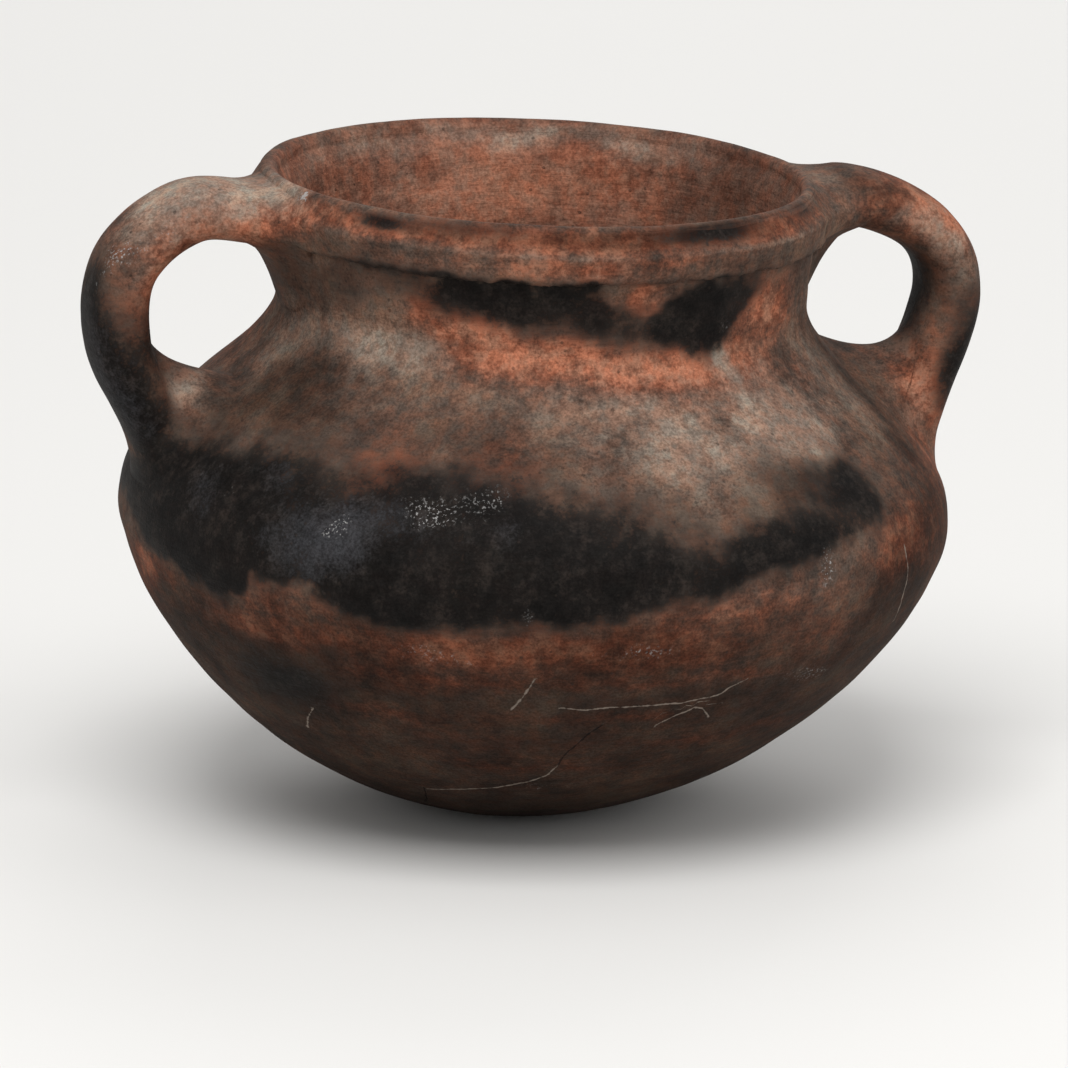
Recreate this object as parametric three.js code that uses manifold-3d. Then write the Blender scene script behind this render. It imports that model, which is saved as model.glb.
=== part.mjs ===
// A small hand-built cooking pot with a round base, a wide mouth and two strap handles.
//
// Frame: millimetres, +Z up, the handles along X, and the origin at the bottom centre of the
// whole pot's box. The pot was built up by hand from its base, so its axis sways a little and the
// whole of it leans towards +X. Outlines are drawn in the pot's own axis frame, where Z is the
// axis and the lowest point of the round base is at 0, and stand() sets them down in the frame.

import * as THREE from "three";
import { mergeVertices } from "three/addons/utils/BufferGeometryUtils.js";
import Module from "manifold-3d";

const wasm = await Module();
wasm.setup();

// Driving dimensions

const LEAN = THREE.MathUtils.degToRad(2.56); // towards +X, about the Y axis
const AXIS_OFFSET = -5.6; // where the axis meets the base, along X
const FLAT_DEPTH = 1; // height worn off the round base where it rests
const LIP_HEIGHT = 101.6; // crest of the lip, along the axis
const SWAY_RISE = 11.5; // the axis leaves the straight line to +X by this much a lip height
const SWAY_RETURN = 9.9; // and comes back by this much times the square of the height

// Outside of the wall as radius and height. Each span between two points is one smooth curve.
const OUTSIDE = [
  [0, 0],
  [19, 2.7],
  [36, 10.4],
  [49.4, 21],
  [59.4, 33],
  [64.2, 43],
  [65.1, 49],
  [63.3, 56],
  [55.7, 65],
  [46.8, 73],
  [42.1, 79.5],
  [41.9, 85.5],
  [42.9, 92.5],
  [43.9, 99.3],
];
const BOWL_TOP = 5; // point of OUTSIDE at the soft edge where the moulded base ends
const NECK_FOOT = 10; // point of OUTSIDE at the narrowest place of the neck
const LIP_FOOT = OUTSIDE.length - 1; // point of OUTSIDE where the lip begins to turn over

const WALL_BASE = 6.6;
const WALL_BELLY = 5.6;
const WALL_NECK = 4.9;
const WALL_LIP = 4.2;
const LIP_ROUND = LIP_HEIGHT - OUTSIDE[LIP_FOOT][1]; // height of the half round on the lip

// Face of the clay strip round the outside of the lip, from its open lower edge upwards
const BAND_FACE = [
  [44.4, 93.2],
  [45, 93.9],
  [45.4, 95.4],
  [45.5, 96.8],
  [45.2, 98.2],
  [44.4, 99.4],
];
const BAND_FOOT = 12.08; // how far up OUTSIDE the strip's back begins and ends, in points
const BAND_TOP = 12.96;
const SMEAR_FOOT = 11.1; // how far up OUTSIDE the clay smeared in under the strip ends

const SEAM_GAP = 0.3; // between two pieces that were pressed together
const ROOM = 200; // larger than the pot in every direction
const ROUND_STEPS = 64; // steps round the pot
const OUTSIDE_STEPS = 3; // steps along one span of OUTSIDE
const INSIDE_STEPS = 2;
const LIP_STEPS = 6; // steps over the half round of the lip

// Strap handles. Each route is the middle line of the strap as X and Z, from the lip down to the
// belly, measured from the point where the axis meets the base before it was worn flat.
const STRAP_WIDTH = 16.5;
const STRAP_THICKNESS = 9.3;
const STRAP_SQUARENESS = 2.5; // exponent of the section's outline: 2 is an ellipse
const STRAP_STEPS = 18; // sections of the free strap, between its roots
const STRAP_SIDES = 22;
const ROOT_FADE = 3; // power at which the roots' slanted sections give way to square ones
const ROOT_STEPS = 5; // sections over the fillet of a root
const ROOT_SEARCH = 0.002; // step along the route in the search for a root, as a share of it
const ROOT_SINK = 0.8; // how deep the drawn-out edge of a root runs under the wall's surface
const ROOT_DEEP = 4; // how deep the strap's end is sunk into the wall before it is trimmed
// Fillets of the roots on the outer side, the edges and the inner side of the strap, as the length
// along the strap and the length out over the wall
const UPPER_FILLET = [[2.5, 2], [8, 12], [6.2, 8.4]];
const LOWER_FILLET = [[8, 6], [6.5, 8.5], [2, 2]];
const WAD_FILLET = [[8, 6], [6.5, 8.5], [14, 10.5]]; // the lower root smeared over its wad
// Sides of a handle that meet the wall right under the strip round the lip are tucked in there
const TUCK = 0.42; // share by which they run out less far over the wall
const TUCK_TURN = THREE.MathUtils.degToRad(117); // direction of the side that is tucked in most
const TUCK_WIDTH = THREE.MathUtils.degToRad(17);
const LEFT_ROUTE = [
  [-37.7, 97.4],
  [-50.2, 98.6],
  [-60.4, 91],
  [-61.8, 78.2],
  [-56.6, 65.8],
  [-53.8, 57.5],
  [-51.5, 50],
];
const RIGHT_ROUTE = [
  [44, 93.8],
  [57, 95],
  [69.6, 88.8],
  [73.1, 78.4],
  [67.2, 62],
  [64.1, 52],
  [62.5, 46],
];

// Wads of clay pressed into the angle above each lower root: how far each lifts the root's hollow
const LEFT_WAD_RISE = 5.2;
const RIGHT_WAD_RISE = 6;

// The pot's axis

// How far the axis has left the straight line at a height.
function sway(z) {
  const share = z / LIP_HEIGHT;
  return SWAY_RISE * share - SWAY_RETURN * share * share;
}

const outsideCurve = new THREE.SplineCurve(
  [[-OUTSIDE[1][0], OUTSIDE[1][1]], ...OUTSIDE].map(([r, z]) => new THREE.Vector2(r, z)),
);

// Point of the wall's outside, where at counts in points of OUTSIDE.
function outsideAt(at) {
  return outsideCurve.getPoint((at + 1) / OUTSIDE.length);
}

// Direction square to the outside, pointing out of the wall.
function outwardAt(at) {
  const step = 0.01;
  const along = outsideAt(Math.min(at + step, LIP_FOOT)).sub(outsideAt(Math.max(at - step, 0)));
  return new THREE.Vector2(along.y, -along.x).normalize();
}

// Lowest height of the leaning base, before it is worn flat.
let baseDrop = 0;
for (let at = 0; at < 2; at += 0.01) {
  const edge = outsideAt(at);
  const height = edge.y * Math.cos(LEAN) - (sway(edge.y) + edge.x) * Math.sin(LEAN);
  baseDrop = Math.min(baseDrop, height);
}
const GROUND = baseDrop + FLAT_DEPTH;

// Sets a point down in the part's frame, from the axis frame.
function stand(x, y, z) {
  return new THREE.Vector3(
    x * Math.cos(LEAN) + z * Math.sin(LEAN) + AXIS_OFFSET,
    y,
    z * Math.cos(LEAN) - x * Math.sin(LEAN) - GROUND,
  );
}

// Radius and height in the axis frame of a point of the part's frame.
function unstand(p) {
  const x = p.x - AXIS_OFFSET;
  const z = p.z + GROUND;
  const height = z * Math.cos(LEAN) + x * Math.sin(LEAN);
  const across = x * Math.cos(LEAN) - z * Math.sin(LEAN) - sway(height);
  return new THREE.Vector2(Math.hypot(across, p.y), height);
}

// Solids and meshes

function solidFrom(geometry) {
  const bare = geometry.clone();
  bare.deleteAttribute("normal");
  bare.deleteAttribute("uv");
  const merged = mergeVertices(bare, 1e-4);
  const index = merged.index.array;
  const kept = [];
  for (let i = 0; i < index.length; i += 3) {
    const [a, b, c] = [index[i], index[i + 1], index[i + 2]];
    if (a !== b && b !== c && c !== a) kept.push(a, b, c);
  }
  return new wasm.Manifold(
    new wasm.Mesh({
      numProp: 3,
      vertProperties: merged.getAttribute("position").array,
      triVerts: new Uint32Array(kept),
    }),
  );
}

function geometryFrom(solid) {
  const mesh = solid.getMesh();
  const geometry = new THREE.BufferGeometry();
  geometry.setAttribute("position", new THREE.BufferAttribute(mesh.vertProperties, 3));
  geometry.setIndex(new THREE.BufferAttribute(mesh.triVerts, 1));
  geometry.computeVertexNormals();
  return geometry;
}

// Closed skin over rings of points, with a flat cap on the first and last ring. Seen from the
// first ring, turning says which way round the points run.
function loft(rings, turning) {
  const sides = rings[0].length;
  const last = rings.length - 1;
  const index = [];
  const at = (i, j) => i * sides + (j % sides);
  const face = (a, b, c) => index.push(...(turning ? [a, b, c] : [a, c, b]));
  for (let i = 0; i < last; i++) {
    for (let j = 0; j < sides; j++) {
      face(at(i, j), at(i + 1, j), at(i + 1, j + 1));
      face(at(i, j), at(i + 1, j + 1), at(i, j + 1));
    }
  }
  for (let j = 1; j < sides - 1; j++) {
    face(at(0, 0), at(0, j), at(0, j + 1));
    face(at(last, 0), at(last, j + 1), at(last, j));
  }
  const geometry = new THREE.BufferGeometry().setFromPoints(rings.flat());
  geometry.setIndex(index);
  return solidFrom(geometry);
}

function largestBody(solid) {
  return solid.decompose().reduce((a, b) => (a.volume() > b.volume() ? a : b));
}

// Turns an outline of radius and height round the swaying axis. The outline runs with the clay
// on its left, and starts and ends on the axis or closes on itself.
function turned(outline) {
  const profile = outline.map((p) => new THREE.Vector2(Math.max(p.x, 0), p.y));
  const geometry = new THREE.LatheGeometry(profile, ROUND_STEPS);
  geometry.rotateX(Math.PI / 2);
  const position = geometry.getAttribute("position");
  for (let i = 0; i < position.count; i++) {
    const height = position.getZ(i);
    const p = stand(position.getX(i) + sway(height), position.getY(i), height);
    position.setXYZ(i, p.x, p.y, p.z);
  }
  return solidFrom(geometry);
}

// The wall

function wallAt(at) {
  const marks = [0, BOWL_TOP, NECK_FOOT, LIP_FOOT];
  const walls = [WALL_BASE, WALL_BELLY, WALL_NECK, WALL_LIP];
  const i = at < marks[1] ? 0 : at < marks[2] ? 1 : 2;
  return THREE.MathUtils.mapLinear(at, marks[i], marks[i + 1], walls[i], walls[i + 1]);
}

function insideAt(at) {
  return outsideAt(at).sub(outwardAt(at).multiplyScalar(wallAt(at)));
}

function places(from, to, steps) {
  const count = Math.ceil(Math.abs(to - from)) * steps;
  return Array.from({ length: count + 1 }, (_, i) => THREE.MathUtils.lerp(from, to, i / count));
}

// Half a seam's gap as a share of the span that starts at a point of OUTSIDE.
function halfGap(point) {
  const [a, b] = [OUTSIDE[point], OUTSIDE[point + 1]];
  return SEAM_GAP / 2 / Math.hypot(b[0] - a[0], b[1] - a[1]);
}

function bowl() {
  const top = BOWL_TOP - halfGap(BOWL_TOP - 1);
  const outline = [
    ...places(0, top, OUTSIDE_STEPS).map(outsideAt),
    ...places(top, 0, INSIDE_STEPS).map(insideAt),
  ];
  outline[0].x = 0;
  outline[outline.length - 1].x = 0;
  const aboveGround = new THREE.BoxGeometry(ROOM, ROOM, ROOM).translate(0, 0, ROOM / 2);
  return turned(outline).intersect(solidFrom(aboveGround));
}

function shoulder() {
  const from = BOWL_TOP + halfGap(BOWL_TOP);
  const to = NECK_FOOT - halfGap(NECK_FOOT - 1);
  const outline = [
    ...places(from, to, OUTSIDE_STEPS).map(outsideAt),
    ...places(to, from, INSIDE_STEPS).map(insideAt),
  ];
  return turned([...outline, outline[0]]);
}

// The half round on top of the lip, from its outer to its inner side.
function lipRound() {
  const outer = outsideAt(LIP_FOOT);
  const inner = insideAt(LIP_FOOT);
  const middle = outer.clone().add(inner).multiplyScalar(0.5);
  const reach = outer.clone().sub(middle);
  return Array.from({ length: LIP_STEPS - 1 }, (_, i) => {
    const turn = (Math.PI * (i + 1)) / LIP_STEPS;
    const p = middle.clone().add(reach.clone().multiplyScalar(Math.cos(turn)));
    return new THREE.Vector2(p.x, p.y + LIP_ROUND * Math.sin(turn));
  });
}

function collar() {
  const from = NECK_FOOT + halfGap(NECK_FOOT);
  const outline = [
    ...places(from, LIP_FOOT, OUTSIDE_STEPS).map(outsideAt),
    ...lipRound(),
    ...places(LIP_FOOT, from, INSIDE_STEPS).map(insideAt),
  ];
  return turned([...outline, outline[0]]);
}

function band() {
  const back = places(BAND_TOP, BAND_FOOT, OUTSIDE_STEPS).map((at) =>
    outsideAt(at).add(outwardAt(at).multiplyScalar(SEAM_GAP)),
  );
  const outline = [...BAND_FACE.map(([r, z]) => new THREE.Vector2(r, z)), ...back];
  return turned([...outline, outline[0]]);
}

// Outline of the whole wall, strip and lip included, from the base over the lip to the inside of
// the neck. Below that it counts as solid clay. Under the strip it leaves the neck at a point of
// OUTSIDE and runs straight to the strip's lower edge.
function wallOutline(stripFoot) {
  return [
    ...places(0, stripFoot, OUTSIDE_STEPS).map(outsideAt),
    ...BAND_FACE.map(([r, z]) => new THREE.Vector2(r, z)),
    ...lipRound(),
    ...places(LIP_FOOT, NECK_FOOT, INSIDE_STEPS).map(insideAt),
  ];
}

const envelope = wallOutline(BAND_FOOT);
const smeared = wallOutline(SMEAR_FOOT);

// Signed distance of a point to a wall outline, below zero within the clay.
function wallDistance(p, outline) {
  const q = unstand(p);
  let nearest = Infinity;
  let crossings = 0;
  for (let i = 0; i + 1 < outline.length; i++) {
    const a = outline[i];
    const ab = outline[i + 1].clone().sub(a);
    const share = THREE.MathUtils.clamp(q.clone().sub(a).dot(ab) / ab.lengthSq(), 0, 1);
    nearest = Math.min(nearest, a.clone().addScaledVector(ab, share).distanceTo(q));
    const level = (q.y - a.y) / ab.y;
    if (level >= 0 && level < 1 && a.x + level * ab.x > q.x) crossings++;
  }
  return crossings % 2 ? -nearest : nearest;
}

// The outside of the wall grown by the seam gap and carried on upwards from the crest of the lip,
// to trim what is pressed on.
function trimmer() {
  const crest = envelope.findIndex((p) => p.y > LIP_HEIGHT - 0.01);
  const outline = envelope.slice(0, crest + 1).map((p, i) => {
    const before = envelope[Math.max(i - 1, 0)];
    const along = envelope[i + 1].clone().sub(before).normalize();
    return new THREE.Vector2(p.x + along.y * SEAM_GAP, p.y - along.x * SEAM_GAP);
  });
  outline[0].x = 0;
  outline.push(new THREE.Vector2(outline[crest].x, ROOM), new THREE.Vector2(0, ROOM));
  return turned(outline);
}

// Handles

function routeCurve(route) {
  const points = route.map(([x, z]) => new THREE.Vector3(x + AXIS_OFFSET, 0, z - GROUND));
  return new THREE.CatmullRomCurve3(points, false, "catmullrom", 0.5);
}

// Where the strap is along its route, with the direction square to it and away from the pot.
function stationAt(curve, share) {
  const middle = curve.getPoint(share);
  const along = curve.getTangent(share);
  const side = Math.sign(curve.points[0].x);
  return { middle, out: new THREE.Vector3(-along.z * side, 0, along.x * side) };
}

// Half breadth of the strap's section in a direction: 0 is outwards, pi/2 along Y.
function strapReach(turn, grow) {
  const across = Math.abs(Math.cos(turn)) / (STRAP_THICKNESS / 2 + grow);
  const along = Math.abs(Math.sin(turn)) / (STRAP_WIDTH / 2 + grow);
  return (across ** STRAP_SQUARENESS + along ** STRAP_SQUARENESS) ** (-1 / STRAP_SQUARENESS);
}

// Point on the strap's bare skin, on the side where turn points.
function skinAt(curve, share, turn, grow) {
  const { middle, out } = stationAt(curve, share);
  const direction = out.multiplyScalar(Math.cos(turn));
  direction.y = Math.sin(turn);
  return { point: middle.addScaledVector(direction, strapReach(turn, grow)), direction };
}

// Direction square to the smeared wall, away from its clay.
function wallNormal(p) {
  const step = 0.05;
  const [x, y, z] = ["x", "y", "z"].map((axis) => {
    const q = p.clone();
    q[axis] += step;
    return wallDistance(q, smeared);
  });
  return new THREE.Vector3(x, y, z).subScalar(wallDistance(p, smeared)).normalize();
}

// Where one side of a strap runs into the wall, sought from halfway towards an end, and how the
// fillet there leaves the strap and runs out over the wall. On the inner side, rise lifts the
// fillet's hollow off the wall.
function rootOf(curve, turn, grow, end, fillet, rise) {
  const way = Math.sign(end - 0.5);
  let share = 0.5;
  const clear = (at) => wallDistance(skinAt(curve, at, turn, grow).point, smeared) > 0;
  while (Math.abs(share - end) > ROOT_SEARCH && clear(share)) share += way * ROOT_SEARCH;
  const { point, direction } = skinAt(curve, share, turn, grow);
  const [outer, edge, inner] = fillet;
  const facing = Math.cos(turn);
  const side = facing > 0 ? outer : inner;
  const [along, over] = [0, 1].map((i) => THREE.MathUtils.lerp(edge[i], side[i], facing * facing));
  const tucked = end < 0.5 ? TUCK * Math.exp(-(((Math.acos(facing) - TUCK_TURN) / TUCK_WIDTH) ** 2)) : 0;
  const normal = wallNormal(point);
  const away = direction.clone().addScaledVector(normal, -direction.dot(normal)).normalize();
  const foot = point.clone().addScaledVector(away, over * (1 - tucked));
  const footNormal = wallNormal(foot);
  foot.addScaledVector(footNormal, -wallDistance(foot, envelope) - ROOT_SINK);
  const deep = foot.clone().addScaledVector(footNormal, -ROOT_DEEP);
  const pull = point.addScaledVector(normal, rise * Math.max(-facing, 0) ** 2);
  return { free: share - (way * along) / curve.getLength(), pull, foot, deep };
}

// Closed skin of a strap along a route. Each side of it runs from one root's fillet to the other's.
function strap(route, grow, lowerFillet, rise) {
  const curve = routeCurve(route);
  const turns = Array.from({ length: STRAP_SIDES }, (_, j) => (2 * Math.PI * j) / STRAP_SIDES);
  const roots = [
    turns.map((turn) => rootOf(curve, turn, grow, 0, UPPER_FILLET, 0)),
    turns.map((turn) => rootOf(curve, turn, grow, 1, lowerFillet, rise)),
  ];
  const [from, to] = roots.map((ring) => ring.reduce((sum, root) => sum + root.free, 0) / STRAP_SIDES);
  const sides = turns.map((turn, j) => {
    const [upper, lower] = [roots[0][j], roots[1][j]];
    const free = Array.from({ length: STRAP_STEPS + 1 }, (_, i) => {
      const t = i / STRAP_STEPS;
      const drift = (upper.free - from) * (1 - t) ** ROOT_FADE + (lower.free - to) * t ** ROOT_FADE;
      return skinAt(curve, THREE.MathUtils.lerp(from, to, t) + drift, turn, grow).point;
    });
    const fillet = (start, root) =>
      new THREE.QuadraticBezierCurve3(start, root.pull, root.foot).getPoints(ROOT_STEPS).slice(1);
    return [
      upper.deep,
      ...fillet(free[0], upper).reverse(),
      ...free,
      ...fillet(free[STRAP_STEPS], lower),
      lower.deep,
    ];
  });
  const rings = sides[0].map((_, i) => sides.map((side) => side[i]));
  return loft(rings, route[0][0] > 0);
}

// Wad of clay in the angle between wall and strap: what the strap smeared over it has more than the
// bare strap.
function wad(route, rise) {
  return strap(route, 0, WAD_FILLET, rise).subtract(strap(route, SEAM_GAP, LOWER_FILLET, 0));
}

// The pot

const CLAY = {
  bowl: { color: 0x9a5a3c, roughness: 0.78 },
  shoulder: { color: 0x7d6a5c, roughness: 0.74 },
  collar: { color: 0x8c5d47, roughness: 0.8 },
  band: { color: 0xa0664b, roughness: 0.76 },
  handle: { color: 0xa9795b, roughness: 0.8 },
  wad: { color: 0x96705a, roughness: 0.82 },
};

const pot = new THREE.Group();

function place(name, solid, clay) {
  const material = new THREE.MeshStandardMaterial({ ...clay, metalness: 0 });
  const mesh = new THREE.Mesh(geometryFrom(largestBody(solid)), material);
  mesh.name = name;
  pot.add(mesh);
}

const wall = trimmer();
place("base_bowl", bowl(), CLAY.bowl);
place("shoulder_wall", shoulder(), CLAY.shoulder);
place("neck_collar", collar(), CLAY.collar);
place("rim_band", band(), CLAY.band);
for (const [side, route, rise] of [
  ["left", LEFT_ROUTE, LEFT_WAD_RISE],
  ["right", RIGHT_ROUTE, RIGHT_WAD_RISE],
]) {
  place("handle_" + side, strap(route, 0, LOWER_FILLET, 0).subtract(wall), CLAY.handle);
  place("handle_" + side + "_root_wad", wad(route, rise).subtract(wall), CLAY.wad);
}

export default pot;
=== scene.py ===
"""A small hand-built cooking pot, fired in the open and blackened by use, on a plain pale floor.

Lengths are in millimetres up to the making of a mesh, which turns them into metres. Outlines are
drawn in the pot's own axis frame, where Z is the axis and the lowest point of the round base is at
0, and stand() sets them down in the frame, leaning a little towards +X.
"""

import math

import bpy
import numpy as np
from mathutils import Matrix, Vector


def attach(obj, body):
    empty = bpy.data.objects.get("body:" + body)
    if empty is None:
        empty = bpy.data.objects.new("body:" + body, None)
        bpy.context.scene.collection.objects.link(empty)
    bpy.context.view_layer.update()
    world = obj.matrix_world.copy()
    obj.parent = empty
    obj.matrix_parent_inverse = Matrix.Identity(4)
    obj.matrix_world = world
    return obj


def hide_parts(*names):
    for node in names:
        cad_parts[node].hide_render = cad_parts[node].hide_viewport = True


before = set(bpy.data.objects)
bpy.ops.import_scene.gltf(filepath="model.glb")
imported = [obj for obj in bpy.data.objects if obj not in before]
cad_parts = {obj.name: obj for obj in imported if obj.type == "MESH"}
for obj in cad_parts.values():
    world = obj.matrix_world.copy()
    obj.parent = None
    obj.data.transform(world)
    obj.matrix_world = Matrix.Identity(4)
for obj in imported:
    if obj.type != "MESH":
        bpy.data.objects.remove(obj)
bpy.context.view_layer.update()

MM = 0.001

# Driving dimensions of the wall

LEAN = math.radians(2.56)
AXIS_OFFSET = -5.6
GROUND = 0.936
LIP_HEIGHT = 101.6
# The axis sways out towards +X and back again on its way up
SWAY_RISE = 11.5
SWAY_RETURN = 9.9
# Outside of the wall as radius and height, with one smooth curve through all points
OUTSIDE = [
    (0, 0), (19, 2.7), (36, 10.4), (49.4, 21), (59.4, 33), (64.2, 43), (65.1, 49), (63.3, 56), (55.7, 65),
    (46.8, 73), (42.1, 79.5), (41.9, 85.5), (42.9, 92.5), (43.9, 99.3),
]
# Places along the wall count in points of OUTSIDE, and the wall's thickness runs from mark to mark
BOWL_TOP = 5
NECK_FOOT = 10
LIP_FOOT = len(OUTSIDE) - 1
LIP_FLARE = LIP_FOOT - 0.6
WALL_MARKS = [0, BOWL_TOP, NECK_FOOT, LIP_FLARE, LIP_FOOT]
WALLS = [6.6, 5.6, 4.9, 4.35, 3.1]
LIP_ROUND = LIP_HEIGHT - OUTSIDE[LIP_FOOT][1]
# How far past the lip's middle its outer skin turns into its inner skin
LIP_TURN = (-0.6, 1.6)

# Face of the clay strip round the lip: from the crevice behind its open lower edge, over its ridge
# and up the bevel to where it dies out on the lip
BAND_FACE = [
    (43.1, 94.3), (43.85, 93.15), (44.35, 93), (44.75, 93.5), (45.1, 94.8), (45.5, 96.4), (45.75, 97.3),
    (45.6, 97.95), (45, 98.75), (44.35, 99.65), (43.75, 100.45), (43.1, 101.1),
]
# The strip's back lies this deep in the wall, over this stretch below the lip's foot
BAND_SINK = 0.12
BAND_BACK = (0.02, 0.72)
# Its lower edge is ragged up to this height, this far up and down
RAGGED_TOP = 95.6
RAGGED_REACH = 2.4
RAGGED_DEPTH = 0.45
RAGGED_RING = 45
# How far below the lip's foot the outlines for distances pass from the wall to the strip: right
# under it, or lower down where smeared clay bridges its crevice
UNDER_BAND = 0.95
BELOW_SMEAR = 1.9

# Driving dimensions of the handles

STRAP_WIDTH = 16.5
STRAP_THICKNESS = 9.3
STRAP_SQUARENESS = 2.5
# Fillets of the roots on the outer side, the edges and the inner side of the strap, as the length
# along the strap and the length out over the wall
UPPER_FILLET = [(2.5, 2), (8, 12), (7.4, 10.2)]
# How far the clay under the upper root is filled up, from its hollow fillet towards a flat web, and
# how far each side has to face inwards for it to begin and to be full
UPPER_WEB = 0.7
WEB_SIDES = (-0.25, 0.45)
LOWER_FILLET = [(8, 6), (6.5, 8.5), (14, 10.5)]
BARE_FILLET = [(8, 6), (6.5, 8.5), (2, 2)]
# The sides that meet the wall under the strip run out less far over it, by this share
TUCK = 0.42
TUCK_TURN = math.radians(117)
TUCK_WIDTH = math.radians(17)
# Depths of a root's thin edge and of its end under the wall's skin
ROOT_SINK = 0.25
ROOT_DEEP = 1.1
BURIED_RINGS = (0.08, 0.35, 0.6, 0.82)
WAD_HALF = math.radians(62)
# Route of each strap's middle, and how far its wad is raised off the wall, lifted straight up and
# smeared out over the wall
HANDLES = {
    "left": {
        "route": [
            (-37.7, 97.4), (-50.2, 98.6), (-60.4, 91), (-61.8, 78.2), (-56.6, 65.8), (-53.8, 57.5),
            (-51.5, 50),
        ],
        "wad_rise": 5.2,
        "wad_lift": 5.0,
        "wad_smear": 0,
    },
    "right": {
        "route": [
            (44, 93.8), (57, 95), (69.6, 88.8), (73.1, 78.4), (67.2, 62), (64.1, 52), (62.5, 46),
        ],
        "wad_rise": 5.2,
        "wad_lift": 0.0,
        "wad_smear": 6,
    },
}

# Fineness of the meshes: points round the axis and round a strap, and steps along the outlines

ROUND = 640
BAND_ROUND = 960
FINE = 0.65
INSIDE_STEP = 2 * FINE
BOWL_STEP = 1.15 * FINE
BOWL_INSIDE_STEP = 3 * FINE
LIP_STEP = 0.45
BAND_STEP = 0.3
STRAP_SIDES = 96
FREE_STEPS = 150
ROOT_STEPS = 26

# Layers of noise, each a weight, the size of its lumps and a seed

SOOT_LOW_EDGE = [(0.7, 7, 41), (0.8, 2.8, 42), (0.7, 1.5, 46)]
SOOT_HIGH_EDGE = [(2, 13, 43), (1.5, 5, 44), (1.1, 2.2, 47)]
SOOT_WEAR = [(0.6, 12, 45), (0.4, 4.5, 48)]
TURN_WARP = [(3.2, 15, 51), (1.4, 5, 52)]
RISE_WARP = [(1.7, 15, 53), (0.7, 5, 54)]
INSIDE_TURN_WARP = [(6, 15, 56)]
INSIDE_RISE_WARP = [(2.5, 11, 57)]
SPOT_WARP = [[(2.2, 9, seed)] for seed in (61, 62, 63)]
LINE_WARP = [[(0.35, 2.5, seed)] for seed in (71, 72, 73)]
FILM_PATCHES = [(0.2, 18, 55)]
INSIDE_FLECKS = [(0.15, 12, 58)]
HANDLE_FILM_PATCHES = [(0.25, 12, 64)]
LEDGE_RAGS = [(1, 5.5, 31), (0.6, 1.7, 32), (0.45, 0.8, 33)]
# Layers of the skin's lumps, after how much lower than wide they are
SKIN_LUMPS = [(1.5, [(0.34, 46, 11), (0.20, 21, 12)]), (2.6, [(0.085, 11, 13)]), (1, [(0.035, 4.2, 14)])]

NOISE_TABLE = 4096
NOISE_GAIN = 1.6
NOISE_PRIMES = [73856093, 19349663, 83492791]


# Small helpers


def ease(value, low, high):
    """Smooth rise from 0 at low to 1 at high."""
    t = np.clip((value - low) / (high - low), 0, 1)
    return t * t * (3 - 2 * t)


def ring_angles(count):
    return 2 * math.pi * np.arange(count) / count


def unit(vectors):
    return vectors / np.maximum(np.linalg.norm(vectors, axis=-1, keepdims=True), 1e-9)


# Noise


def lattice(seed):
    """Table of random unit vectors for one noise."""
    rng = np.random.default_rng(seed)
    return unit(rng.normal(size=(NOISE_TABLE, 3)))


def noise(points, size, seed):
    """Smooth gradient noise from about -1 to 1, whose lumps are about size across."""
    table = lattice(seed)
    p = np.asarray(points) / size
    cell = np.floor(p).astype(np.int64)
    f = p - cell
    fade = f * f * f * (f * (f * 6 - 15) + 10)
    total = np.zeros(len(p))
    for corner in range(8):
        step = np.array([corner & 1, corner >> 1 & 1, corner >> 2 & 1])
        slope = table[(cell + step) @ np.array(NOISE_PRIMES) % NOISE_TABLE]
        weight = np.prod(np.where(step, fade, 1 - fade), axis=1)
        total += weight * np.einsum("ij,ij->i", slope, f - step)
    return total * NOISE_GAIN


def layered(points, layers):
    """Sum of layers of noise."""
    return sum(weight * noise(points, size, seed) for weight, size, seed in layers)


def warp(points, layers):
    """How far each point is moved by noise of its own along X, Y and Z."""
    return np.stack([layered(points, axis) for axis in layers], 1)


def lumps(points):
    """How far the hand-smoothed clay stands out of its true outline."""
    (low, wide), (lower, fingers), (_, grains) = SKIN_LUMPS
    broad = layered(points * [1, 1, low], wide)
    return broad + layered(points * [1, 1, lower], fingers) + layered(points, grains)


# The pot's axis and outlines


def curve_at(points, at):
    """Uniform Catmull-Rom curve through points, one of which lies before and one after the rest."""
    points = np.asarray(points, float)
    at = np.atleast_1d(np.asarray(at, float))
    i = np.clip(np.floor(at).astype(int), 0, len(points) - 4)
    t = (at - i)[:, None]
    p0, p1, p2, p3 = (points[i + k] for k in range(4))
    v0, v1 = (p2 - p0) / 2, (p3 - p1) / 2
    return (2 * p1 - 2 * p2 + v0 + v1) * t**3 + (3 * p2 - 3 * p1 - 2 * v0 - v1) * t**2 + v0 * t + p1


WALL_POINTS = [(-OUTSIDE[1][0], OUTSIDE[1][1])] + OUTSIDE + [OUTSIDE[-1]]


def outside_at(at):
    return curve_at(WALL_POINTS, at)


def outward_at(at):
    step = 0.01
    along = outside_at(np.minimum(at + step, LIP_FOOT)) - outside_at(np.maximum(at - step, 0))
    return unit(np.stack([along[:, 1], -along[:, 0]], 1))


def inside_at(at):
    return outside_at(at) - outward_at(at) * np.interp(at, WALL_MARKS, WALLS)[:, None]


def sway(z):
    """How far the axis lies to the side at a height along it."""
    share = z / LIP_HEIGHT
    return SWAY_RISE * share - SWAY_RETURN * share * share


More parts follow.
